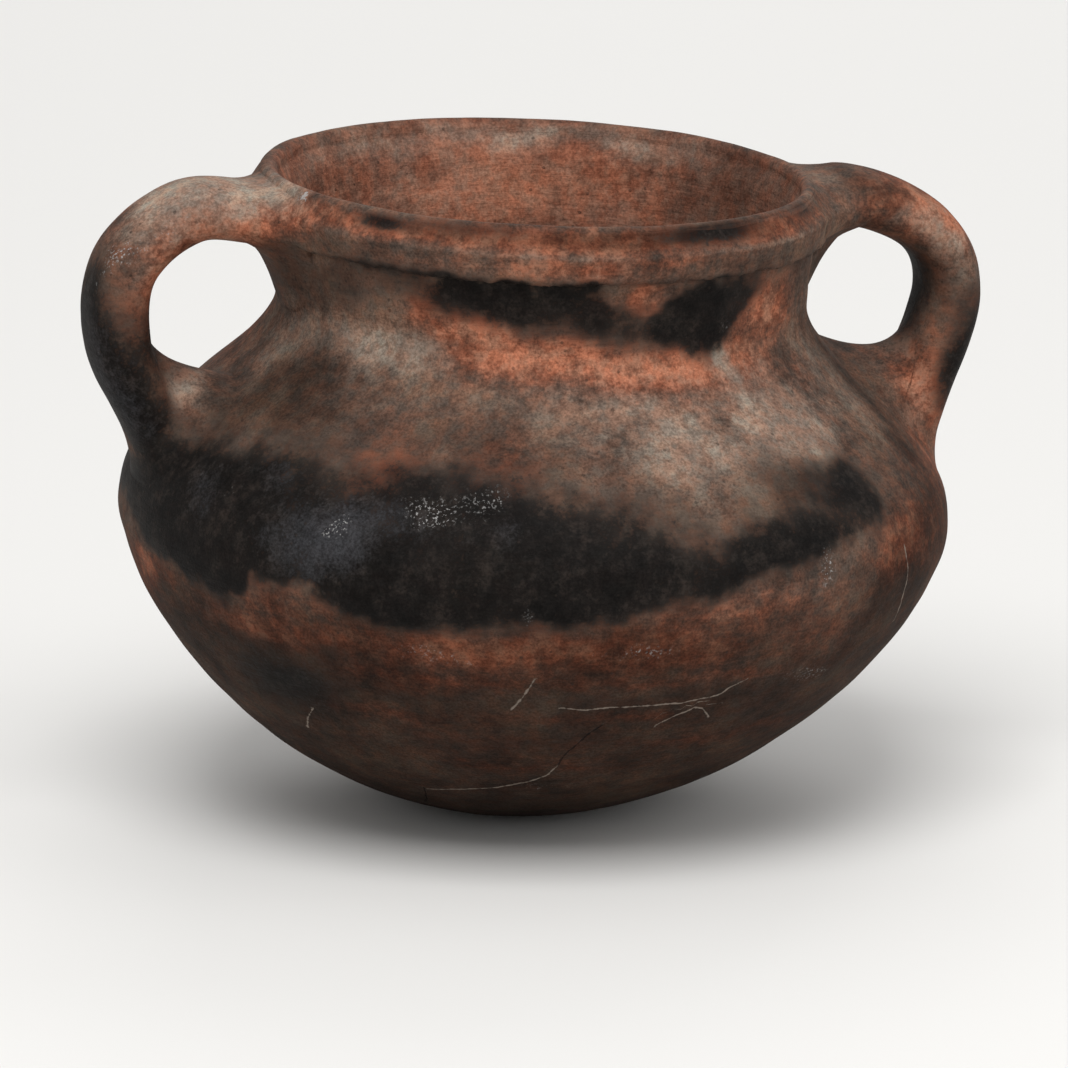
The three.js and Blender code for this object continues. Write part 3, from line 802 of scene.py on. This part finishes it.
# Marks on the handles: a place in the frame, a radius and an amount
HANDLE_SPOTS = {
    "soot": [
        (-72, -4, 90, 4.5, 0.4), (-73, 0, 86, 7, 0.4), (-72, -4, 79, 8, 0.75), (-71, -5, 71, 8, 1.1),
        (-68, -6, 63, 7, 1), (-62, -9, 58, 5, 0.45), (-67, 8, 74, 9, 0.8), (-52, 8, 93, 6, 0.4),
        (71, -5, 78, 3.5, 0.6), (71, -5.5, 74, 4.2, 0.65), (69, -6.5, 69, 4.2, 0.7),
        # On the right strap's inner face, the spots at x 62 and 61 at the end of this line and at x 58 on
        # the next are painted shade
        (67, -7, 65, 4.2, 0.65), (65, -7, 61, 3.5, 0.4), (62, 2, 82, 7, 0.6), (61, 2, 75, 6, 0.5),
        (58, 4, 88, 6, 0.4), (71, 6, 80, 8, 0.5), (70, 2, 72, 7, 0.5), (67, 2, 63, 6, 0.3),
        (58, 7, 94, 5, 0.3), (50, 3, 94, 4, 0.4), (50, -4, 98, 3, 0.15),
    ],
    "red": [
        (-50, -8.5, 97, 6, 0.8), (-58, -8, 95, 7, 0.5), (-44, -10, 96, 5, 0.45), (-62, -8.5, 89, 4, 0.4),
        (-62, -8.5, 82, 4.5, 0.5), (-57, -8, 67, 4, 0.3), (-58, 8, 96, 8, 0.4), (60, -6, 95, 6, 0.6),
        (66, -5, 92, 5, 0.6), (68, -7, 88, 4, 0.4), (65, -8, 72, 4, 0.15), (62, 3, 97, 8, 0.3),
        (60, -7, 65, 5, 0.6), (60.5, -9, 59.5, 5, 0.45), (66, 8, 70, 7, 0.4),
    ],
    "pale": [
        (-50, -3, 101.5, 8, 0.8), (-57, 1, 101.5, 8, 0.6), (-63, -4, 98, 6, 0.5), (-45, -8, 101, 5, 0.5),
        (-41.3, -11.8, 101.6, 1.5, 1.4), (-56, -4, 70, 5, 0.8), (-57, -9, 66, 3.5, 0.4),
        (-66, -8, 90, 3, 0.3), (53, -3, 100, 6, 0.35), (57.5, -7.5, 92, 3, 0.5), (62, -8, 90, 3.2, 0.45),
        (66, -8, 87, 3.5, 0.55), (69, -7, 82, 3.8, 0.5), (69.5, -6.5, 78, 3, 0.15), (60, -8, 64, 4, 0.3),
        (57, -2, 72, 5, 0.3), (55, 8, 70, 6, 0.35),
    ],
    "film_and_shade": [
        (-71, -4, 92, 7, 0.3), (54, -5, 99, 8, 0.5), (62, 2, 98, 8, 0.3), (66, -8, 80, 6, 0.3),
        (63, -8, 57, 6, 0.3), (66, 6, 88, 9, 0.4),
    ],
    "fleck": [
        (-68, -6, 93.3, 3, 0.8), (-62, -7, 96.5, 4, 0.5), (-71, -5, 88, 3, 0.5), (-70, -5, 79, 3, 0.4),
        (-60, -8, 66, 3, 0.5), (-44, -10, 100, 2.5, 0.8), (64, -6, 93, 3, 0.5), (68, -7, 84, 3, 0.35),
        (0, 0, 60, 200, 0.08),
    ],
}

# Fine lines on the wall as azimuths and heights. Dark ones are open cracks.
PALE_LINES = [
    [(-7.5, 17.5), (-9, 15.4), (-12, 13.9), (-18.8, 12), (-24, 11.1), (-30, 10.6), (-37.5, 9.8)],
    [(-7.5, 29.3), (0, 30), (9, 30.2), (15, 31.4), (17, 33)],
    [(9, 27.5), (12, 29.3), (14, 28.2)],
    [(47, 49), (48.5, 44), (50, 39.5)],
    [(-16.5, 31), (-15.3, 33)],
    [(-56, 21.5), (-54.6, 22.8)],
    [(140, 44), (146, 47), (149, 52)],
    [(-120, 30), (-128, 28.4), (-133, 29)],
]
DARK_LINES = [
    [(-4, 25), (-6, 22), (-7, 20), (-7.5, 17.5)],
    [(-38, 9.8), (-39.5, 8), (-42, 6.4)],
    [(-170, 24), (-166, 20.5), (-167, 17), (-162, 13)],
]


# Softness of the soot's lower and upper edges, and how patchy it is
BELLY_SOOT = (2.9, 14, 0.45)
NECK_SOOT_SOFT = (3.4, 4, 0.9)
NECK_SOOT_SHARE = 0.78
# Wall marks are moved up and down freely to the first of these heights, and little from the second
FREE_HEIGHTS = (89, 94)
# Painted shade on the low belly, laid on with the dark film, is full up to the first of these heights and
# ends at the second: the bowl grows darker towards the bottom
LOW_SHADE_HEIGHTS = (26, 60)
# Marks near a handle's root are those of the wall, and further out than this the handle's own
ROOT_BLEND = (0.5, 6)
# Fine lines count up to this far away, have this many points from place to place, and run no
# further than this from their middle
LINE_REACH = 3
LINE_POINTS = 6
LINE_SPREAD = 40


def around(points):
    """Azimuths and heights of points."""
    q = unstand(points)
    return np.degrees(np.arctan2(q[:, 0], -q[:, 1])), q[:, 2]


def clouds(azimuth, height, marks):
    total = np.zeros(len(azimuth))
    for middle, level, breadth, tall, amount in marks:
        turn = (azimuth - middle + 180) % 360 - 180
        total += amount * np.exp(-((turn / breadth) ** 2) - ((height - level) / tall) ** 2)
    return total


def spots(points, marks):
    total = np.zeros(len(points))
    for x, y, z, radius, amount in marks:
        total += amount * np.exp(-(((points - [x, y, z]) / radius) ** 2).sum(1))
    return total


def soot_band(azimuth, height, points, band, soft_low, soft_high, patchy):
    """Patchy soot between the band's lower and upper edges, which blur over the given heights."""
    table = np.array(band)
    low, high, strength = (np.interp(azimuth, table[:, 0], table[:, k], period=360) for k in (1, 2, 3))
    low = low + layered(points, SOOT_LOW_EDGE)
    high = high + layered(points, SOOT_HIGH_EDGE)
    rise = ease(height, low - soft_low, low + soft_low)
    fall = 1 - ease(height, high - 0.6 * soft_high, high + 0.4 * soft_high)
    return strength * (1 + patchy * layered(points, SOOT_WEAR)) * rise * fall


def wall_marks(points):
    """Amounts of soot, red, pale bloom and the like on the outside of the wall, with painted shade low on
    the bowl and a painted sheen on the soot.
    """
    azimuth, height = around(points)
    azimuth = azimuth + layered(points, TURN_WARP)
    free = 1 - 0.8 * ease(height, *FREE_HEIGHTS)
    height = height + free * layered(points, RISE_WARP)
    belly = soot_band(azimuth, height, points, SOOT_BAND, *BELLY_SOOT)
    neck = NECK_SOOT_SHARE * soot_band(azimuth, height, points, NECK_SOOT, *NECK_SOOT_SOFT)
    # Grey-brown film in patches, plus painted shade that darkens the bowl towards the bottom
    film_and_shade = 0.12 + 0.85 * (1 - ease(height, *LOW_SHADE_HEIGHTS)) + layered(points, FILM_PATCHES)
    return {
        "soot": np.maximum(belly, neck) + clouds(azimuth, height, SOOT_CLOUDS),
        "red": 0.2 + clouds(azimuth, height, RED_CLOUDS),
        "pale": clouds(azimuth, height, PALE_CLOUDS),
        "film_and_shade": film_and_shade + clouds(azimuth, height, FILM_CLOUDS),
        "sheen": clouds(azimuth, height, SHEEN_CLOUDS),
        "fleck": clouds(azimuth, height, FLECK_CLOUDS),
        "calm": 0.35 + 0.25 * (1 - ease(height, 34, 52)) - 0.2 * ease(height, 90, 94),
    }


def inside_marks(points):
    azimuth, height = around(points)
    azimuth = azimuth + layered(points, INSIDE_TURN_WARP)
    height = height + layered(points, INSIDE_RISE_WARP)
    found = {name: clouds(azimuth, height, marks) for name, marks in INSIDE_CLOUDS.items()}
    # The inside is made paler and redder all over; part of this lift is painted light, standing in for
    # light falling into the mouth
    found["red"] += 0.52
    found["pale"] += 0.28
    found["film_and_shade"] += 0.02
    found["sheen"] = np.zeros(len(points))
    found["fleck"] = 0.1 + layered(points, INSIDE_FLECKS)
    found["calm"] = np.ones(len(points))
    return found


def handle_marks(points):
    """On the roots the marks of the wall run on up into the handles."""
    wall = wall_marks(points)
    warped = points + warp(points, SPOT_WARP)
    own = {name: spots(warped, marks) for name, marks in HANDLE_SPOTS.items()}
    own["red"] += 0.3
    own["film_and_shade"] += 0.2 + layered(points, HANDLE_FILM_PATCHES)
    # The handles' soot carries some painted sheen
    own["sheen"] = 0.4 * own["soot"]
    own["calm"] = np.zeros(len(points))
    away = ease(wall_distance(points, ENVELOPE), *ROOT_BLEND)
    return {name: own[name] * away + wall[name] * (1 - away) for name in own}


def on_wall(marks):
    """Places on the outside of the wall, in the frame, for azimuths and heights."""
    at = np.linspace(0, LIP_FOOT, 600)
    profile = outside_at(at)
    azimuth, height = np.radians([m[0] for m in marks]), np.array([m[1] for m in marks])
    r = np.interp(height, profile[:, 1], profile[:, 0])
    return stand(np.stack([r * np.sin(azimuth), -r * np.cos(azimuth), height], 1))


def line_marks(points):
    """For each point how far to one side a fine line runs, whether one is near, and dark."""
    side, near, dark = (np.zeros(len(points)) for _ in range(3))
    nearest = np.full(len(points), float(LINE_REACH))
    middle = stand(np.array([[0, 0, 45]]))[0]
    for kind, lines in ((0, PALE_LINES), (1, DARK_LINES)):
        for marks in lines:
            places = np.array(marks, float)
            last = len(places) - 1
            steps = np.linspace(0, last, LINE_POINTS * last + 1)
            route = on_wall(np.stack([np.interp(steps, np.arange(last + 1), row) for row in places.T], 1))
            route += warp(route, LINE_WARP)
            close = np.flatnonzero(np.linalg.norm(points - route.mean(0), axis=1) < LINE_SPREAD)
            if not len(close):
                continue
            here = points[close]
            for a, b in zip(route[:-1], route[1:]):
                along = unit(b - a)
                across = np.cross(along, unit((a + b) / 2 - middle))
                way = (here - a) @ along
                within = (way >= 0) & (way <= np.linalg.norm(b - a))
                gap = (here - a) @ across
                distance = np.where(within, np.abs(gap), np.linalg.norm(here - a, axis=1) + 0.02)
                better = distance < nearest[close]
                chosen = close[better]
                nearest[chosen] = distance[better]
                side[chosen] = gap[better]
                near[chosen] = 1
                dark[chosen] = kind
    return side, near, dark


def add_marks(piece, marks, lines):
    """Stores the marks on the piece's points, three to an attribute, and how smooth the skin is."""
    packed = {
        "fire": [marks["soot"], marks["red"], marks["pale"]],
        "skin": [marks["film_and_shade"], marks["sheen"], marks["fleck"]],
        "lines": lines,
    }
    for name, columns in packed.items():
        layer = piece.data.attributes.new(name, "FLOAT_VECTOR", "POINT")
        layer.data.foreach_set("vector", np.stack(columns, 1).astype(np.float32).ravel())
    layer = piece.data.attributes.new("calm", "FLOAT", "POINT")
    layer.data.foreach_set("value", marks["calm"].astype(np.float32))


def paint_wall(piece, points, inner_share):
    outer, inner = wall_marks(points), inside_marks(points)
    marks = {name: outer[name] * (1 - inner_share) + inner[name] * inner_share for name in outer}
    side, near, dark = line_marks(points)
    add_marks(piece, marks, [side, near * (inner_share < 0.5), dark])


def paint_handle(piece, points):
    add_marks(piece, handle_marks(points), [np.zeros(len(points))] * 3)


# Materials

BODY = [(0.066, 0.044, 0.035), (0.118, 0.075, 0.057), (0.185, 0.120, 0.086)]
FIRED = [(0.085, 0.034, 0.022), (0.200, 0.076, 0.046), (0.42, 0.175, 0.105)]
ASH = [(0.20, 0.142, 0.114), (0.275, 0.195, 0.152), (0.38, 0.30, 0.235)]
SOOT = [(0.0035, 0.0033, 0.0032), (0.0072, 0.0067, 0.0064), (0.020, 0.0165, 0.0145)]
# Blue-grey of the painted sheen on the soot
SOOT_SHEEN = (0.036, 0.037, 0.041)
FILM_AND_SHADE = (0.22, 0.205, 0.195)
WARM, COOL = (1.10, 0.97, 0.90), (0.90, 1.02, 1.06)
PEPPER, SALT = (0.72, 0.71, 0.70), (1.28, 1.28, 1.28)
GRIT_DARK = (0.03, 0.022, 0.018)
HAIRLINE = (0.28, 0.23, 0.19)
FLECK = (0.42, 0.41, 0.40)

# Textures of the clay: size, detail, roughness, how much lower than wide, and seed
TEXTURES = {
    "broad": (11, 5, 0.6, 1, 0.0),
    "patch": (4.2, 5, 0.62, 1, 3.1),
    "grain": (1.3, 4, 0.7, 1, 7.7),
    "fine": (0.42, 3, 0.65, 1, 1.3),
    "wiped": (5.5, 4, 0.6, 7, 5.2),
    "ash": (6.5, 5, 0.6, 1, 9.4),
    "veil": (7.5, 5, 0.6, 1, 4.4),
    "tint": (2.4, 3, 0.6, 1, 6.6),
    "crumbs": (0.48, 2, 0.6, 1, 8.8),
    "wobble": (0.9, 3, 0.6, 1, 2.2),
}
STONE_SIZE = 1.7

# Values over which each mark fades in
RED_FADE = (0.12, 0.8)
PALE_FADE = (0.12, 0.85)
FILM_AND_SHADE_FADE = (0.05, 1.05)
TINT_FADE = (0.35, 0.65)
SOOT_FADE = (0.12, 0.8)
SHEEN_FADE = (0.3, 1.2)
SALT_FADE = (0.3, 0.7)
STONE_FADE = (0.2, 0.1)
STONE_CHANCE = (0.55, 0.8)
HEAVY_FLECK_FADE = (1.0, 1.6)
CRUMB_FADE = (0.55, 0.68)
FLECK_FADE = (0.35, 0.95)
LINE_FADE = (0.2, 0.02)
NEAR_FADE = (0.4, 0.9)

# How much of the clay each mark covers
ASH_COVER = 0.9
FILM_AND_SHADE_COVER = 0.9
SOOT_COVER = 0.97
STONE_COVER = 0.55
FLECK_COVER = 0.7
LINE_COVER = 0.7

ROUGHNESS = 0.8
GLOSS = 0.06
RELIEF_DEPTH = 0.22
RELIEF_STRENGTH = 0.75


def new_material(name):
    material = bpy.data.materials.new(name)
    material.use_nodes = True
    return material, material.node_tree.nodes["Principled BSDF"]


class Graph:
    """Short ways of adding nodes to a material."""

    def __init__(self, material):
        self.tree = material.node_tree
        coordinates = self.node("TexCoord")
        self.place = self.vector("MULTIPLY", coordinates.outputs["Object"], (1 / MM, 1 / MM, 1 / MM))

    def node(self, kind):
        return self.tree.nodes.new("ShaderNode" + kind)

    def feed(self, socket, value):
        if isinstance(value, bpy.types.NodeSocket):
            self.tree.links.new(value, socket)
        elif socket.type == "RGBA":
            socket.default_value = (*value, 1)
        else:
            socket.default_value = value

    def vector(self, operation, a, b):
        node = self.node("VectorMath")
        node.operation = operation
        self.feed(node.inputs[0], a)
        self.feed(node.inputs[1], b)
        return node.outputs["Vector"]

    def math(self, operation, a, b=0.0):
        node = self.node("Math")
        node.operation = operation
        self.feed(node.inputs[0], a)
        self.feed(node.inputs[1], b)
        return node.outputs["Value"]

    def sum(self, start, *terms):
        """start plus each term's value, less its middle or 0.5, times its weight."""
        total = start
        for value, weight, *middle in terms:
            offset = self.math("SUBTRACT", value, middle[0] if middle else 0.5)
            total = self.math("ADD", total, self.math("MULTIPLY", offset, weight))
        return total

    def step(self, value, low, high):
        node = self.node("MapRange")
        node.interpolation_type = "SMOOTHSTEP"
        self.feed(node.inputs["Value"], value)
        self.feed(node.inputs["From Min"], low)
        self.feed(node.inputs["From Max"], high)
        return node.outputs["Result"]

    def noise(self, name):
        size, detail, roughness, low, seed = TEXTURES[name]
        node = self.node("TexNoise")
        scaled = self.vector("MULTIPLY", self.place, (1 / size, 1 / size, low / size))
        self.feed(node.inputs["Vector"], self.vector("ADD", scaled, (seed, -seed, seed * 0.7)))
        self.feed(node.inputs["Scale"], 1.0)
        self.feed(node.inputs["Detail"], detail)
        self.feed(node.inputs["Roughness"], roughness)
        return node.outputs["Fac"]

    def cells(self, size):
        node = self.node("TexVoronoi")
        scaled = self.vector("MULTIPLY", self.place, (1 / size, 1 / size, 1 / size))
        self.feed(node.inputs["Vector"], scaled)
        self.feed(node.inputs["Scale"], 1.0)
        return node.outputs["Distance"], node.outputs["Color"]

    def ramp(self, value, colours):
        node = self.node("ValToRGB")
        stops = node.color_ramp.elements
        while len(stops) < len(colours):
            stops.new(0.5)
        for i, colour in enumerate(colours):
            stops[i].position = 0.3 + 0.4 * i / (len(colours) - 1)
            stops[i].color = (*colour, 1)
        self.feed(node.inputs["Fac"], value)
        return node.outputs["Color"]

    def mix(self, share, a, b, blend="MIX"):
        node = self.node("Mix")
        node.data_type = "RGBA"
        node.blend_type = blend
        self.feed(node.inputs[0], share)
        self.feed(node.inputs[6], a)
        self.feed(node.inputs[7], b)
        return node.outputs[2]

    def attribute(self, name):
        node = self.node("Attribute")
        node.attribute_name = name
        return node

    def marks(self, name):
        split = self.node("SeparateXYZ")
        self.tree.links.new(self.attribute(name).outputs["Vector"], split.inputs[0])
        return tuple(split.outputs)

    def bump(self, height, distance, strength):
        node = self.node("Bump")
        self.feed(node.inputs["Height"], height)
        self.feed(node.inputs["Distance"], distance * MM)
        self.feed(node.inputs["Strength"], strength)
        return node.outputs["Normal"]


def fired_clay(name, wiping, grit):
    """Coarse clay fired in the open: reddened, bloomed with ash and blackened with soot, with a painted
    sheen on the soot and painted shade low on the bowl.
    """
    material, shader = new_material(name)
    g = Graph(material)
    soot, red, pale = g.marks("fire")
    film_and_shade, sheen, fleck = g.marks("skin")
    side, near, dark = g.marks("lines")
    calm = g.attribute("calm").outputs["Fac"]
    lively = g.math("SUBTRACT", 1.0, g.math("MULTIPLY", calm, 0.5))

    broad = g.noise("broad")
    patch = g.sum(0.5, (g.noise("patch"), lively))
    grain = g.sum(0.5, (g.noise("grain"), lively))
    fine = g.noise("fine")
    wiped = g.noise("wiped")

    body = g.ramp(g.sum(broad, (patch, 0.6), (grain, 0.5), (wiped, 0.3)), BODY)
    fired = g.ramp(g.sum(patch, (grain, 0.5), (red, 0.3, 0.6), (wiped, 0.2)), FIRED)
    ash = g.ramp(g.sum(g.noise("ash"), (grain, 0.5), (pale, 0.2, 0.6)), ASH)
    is_red = g.step(g.sum(red, (patch, 0.6), (grain, 0.5), (wiped, 0.3)), *RED_FADE)
    colour = g.mix(is_red, body, fired)
    is_pale = g.step(g.sum(pale, (broad, 0.7), (grain, 0.5), (patch, 0.5)), *PALE_FADE)
    colour = g.mix(g.math("MULTIPLY", is_pale, ASH_COVER), colour, ash)

    # Multiplies in the grey-brown film and the painted shade of the low bowl
    veil = g.step(g.sum(film_and_shade, (g.noise("veil"), 0.7), (grain, 0.6)), *FILM_AND_SHADE_FADE)
    colour = g.mix(g.math("MULTIPLY", veil, FILM_AND_SHADE_COVER), colour, FILM_AND_SHADE, "MULTIPLY")
    tint = g.mix(g.step(g.noise("tint"), *TINT_FADE), WARM, COOL)
    colour = g.mix(1.0, colour, tint, "MULTIPLY")

    black = g.sum(soot, (patch, 1.0), (grain, 1.2), (fine, 0.6))
    is_black = g.step(black, *SOOT_FADE)
    soots = g.ramp(g.sum(patch, (grain, 0.7), (soot, -0.2, 0.9)), SOOT)
    # Painted sheen: blue-grey laid over the soot's black
    sheen_mask = g.step(g.sum(sheen, (broad, 0.9), (grain, 0.9), (fine, 0.5)), *SHEEN_FADE)
    soots = g.mix(sheen_mask, soots, SOOT_SHEEN)
    colour = g.mix(g.math("MULTIPLY", is_black, SOOT_COVER), colour, soots)
    salted = g.step(g.sum(fine, (grain, 0.5)), *SALT_FADE)
    colour = g.mix(1.0, colour, g.mix(salted, PEPPER, SALT), "MULTIPLY")

    distance, chance = g.cells(STONE_SIZE)
    is_stone = g.math("MULTIPLY", g.step(distance, *STONE_FADE), g.step(chance, *STONE_CHANCE))
    colour = g.mix(g.math("MULTIPLY", is_stone, STONE_COVER * grit), colour, GRIT_DARK)
    crumbs = g.sum(g.noise("crumbs"), (g.step(fleck, *HEAVY_FLECK_FADE), 0.25, 0))
    flecked = g.sum(fleck, (patch, 0.8), (grain, 1.0))
    is_chip = g.math("MULTIPLY", g.step(crumbs, *CRUMB_FADE), g.step(flecked, *FLECK_FADE))
    colour = g.mix(g.math("MULTIPLY", is_chip, FLECK_COVER), colour, FLECK)

    reach = g.sum(g.math("ABSOLUTE", side), (g.noise("wobble"), 0.7))
    is_line = g.math("MULTIPLY", g.step(reach, *LINE_FADE), g.step(near, *NEAR_FADE))
    line = g.mix(dark, HAIRLINE, SOOT[0])
    colour = g.mix(g.math("MULTIPLY", is_line, LINE_COVER), colour, line)

    g.feed(shader.inputs["Base Color"], colour)
    rough = g.sum(ROUGHNESS, (is_black, -0.17, 0), (sheen_mask, 0.08, 0))
    rough = g.sum(rough, (grain, 0.25), (wiped, 0.15))
    g.feed(shader.inputs["Roughness"], rough)
    shader.inputs["Specular IOR Level"].default_value = GLOSS
    relief = g.sum(g.math("MULTIPLY", grain, 0.5), (fine, 0.35), (patch, 0.8))
    relief = g.sum(relief, (wiped, 0.9 * wiping), (is_stone, 0.5 * grit, 0))
    relief = g.sum(relief, (is_chip, 0.25, 0), (is_line, -0.8, 0))
    g.feed(shader.inputs["Normal"], g.bump(relief, RELIEF_DEPTH, RELIEF_STRENGTH))
    return material


# How strongly each slot's clay shows the wiping hand, and how gritty it is
FINISHES = {
    "clay_bowl": (1, 1),
    "clay_shoulder": (1, 1),
    "clay_neck": (1.3, 1),
    "clay_band": (0.6, 0.6),
    "clay_handle": (0.7, 1),
    "clay_wad": (0.7, 1),
}


# Camera, floor and light

PICTURE_PIXELS = 1068
FOCAL_PIXELS = 11186
SENSOR = 36
TURN = math.radians(15.6)
PITCH = math.radians(13.78)
AXIS_FOOT_PIXEL = (501.3, 802.3)
AXIS_FOOT_DEPTH = 1770

# Floor and lamps, in metres
FLOOR_HALF = 1.5
FLOOR_COLOUR = (0.8, 0.79, 0.77, 1)
FLOOR_ROUGHNESS = 0.9
LAMP_SIZE = 0.8
LAMPS = [
    ("key", (-0.25, -0.6, 1.15), 11.5),
    ("fill", (0.9, -0.5, 0.5), 2),
    ("back", (0.4, 1.0, 0.8), 4),
]
SKY_LIGHT = 0.5
BACKDROP_LIGHT = 0.92


def set_camera():
    """Looks at the pot as the photograph does, with a long lens from a little above."""
    ahead = np.array([math.sin(TURN), math.cos(TURN), 0]) * math.cos(PITCH)
    forward = ahead - [0, 0, math.sin(PITCH)]
    right = np.array([math.cos(TURN), -math.sin(TURN), 0])
    up = np.cross(right, forward)
    middle = PICTURE_PIXELS / 2
    across = (AXIS_FOOT_PIXEL[0] - middle) / FOCAL_PIXELS * AXIS_FOOT_DEPTH
    down = (AXIS_FOOT_PIXEL[1] - middle) / FOCAL_PIXELS * AXIS_FOOT_DEPTH
    place = -(AXIS_FOOT_DEPTH * forward + across * right - down * up)
    place += [AXIS_OFFSET, 0, -GROUND]
    data = bpy.data.cameras.new("camera")
    data.sensor_width = SENSOR
    data.lens = FOCAL_PIXELS / PICTURE_PIXELS * SENSOR
    data.clip_end = 20
    camera = add_object("camera", data)
    turn = Matrix([right, up, -forward]).transposed()
    camera.matrix_world = Matrix.Translation(place * MM) @ turn.to_4x4()
    bpy.context.scene.camera = camera


def set_stage():
    mesh = bpy.data.meshes.new("floor")
    corners = [(-1, -1), (1, -1), (1, 1), (-1, 1)]
    mesh.from_pydata([(x * FLOOR_HALF, y * FLOOR_HALF, 0) for x, y in corners], [], [(0, 1, 2, 3)])
    floor = add_object("floor", mesh)
    material, shader = new_material("floor")
    shader.inputs["Base Color"].default_value = FLOOR_COLOUR
    shader.inputs["Roughness"].default_value = FLOOR_ROUGHNESS
    floor.data.materials.append(material)


def set_light():
    """Soft lamps, and a white world that the camera sees brighter than the pot does."""
    world = bpy.data.worlds.new("studio")
    bpy.context.scene.world = world
    world.use_nodes = True
    background = world.node_tree.nodes["Background"]
    background.inputs["Color"].default_value = (1, 1, 1, 1)
    seen = world.node_tree.nodes.new("ShaderNodeLightPath")
    strength = world.node_tree.nodes.new("ShaderNodeMath")
    strength.operation = "MULTIPLY_ADD"
    strength.inputs[1].default_value = BACKDROP_LIGHT - SKY_LIGHT
    strength.inputs[2].default_value = SKY_LIGHT
    world.node_tree.links.new(seen.outputs["Is Camera Ray"], strength.inputs[0])
    world.node_tree.links.new(strength.outputs[0], background.inputs["Strength"])
    for name, place, power in LAMPS:
        data = bpy.data.lights.new(name, "AREA")
        data.size = LAMP_SIZE
        data.energy = power
        lamp = add_object(name, data)
        lamp.location = place
        lamp.rotation_euler = (-Vector(place)).to_track_quat("-Z", "Y").to_euler()


bpy.context.scene.view_settings.view_transform = "Standard"
set_camera()
set_stage()
set_light()
slots = {name: fired_clay(name, *finish) for name, finish in FINISHES.items()}
pieces = {
    "base_bowl": (bowl(), "clay_bowl"),
    "shoulder_wall": (wall_piece("clay_shoulder_wall", BOWL_TOP, NECK_FOOT), "clay_shoulder"),
    "neck_collar": (collar(), "clay_neck"),
    "rim_band": (band(), "clay_band"),
}
for side in HANDLES:
    strap_piece, wad_piece = handle_and_wad(side)
    pieces["handle_" + side] = (strap_piece, "clay_handle")
    pieces["handle_%s_root_wad" % side] = (wad_piece, "clay_wad")
for node, (piece, slot) in pieces.items():
    piece.data.materials.append(slots[slot])
    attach(piece, "root")
    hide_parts(node)
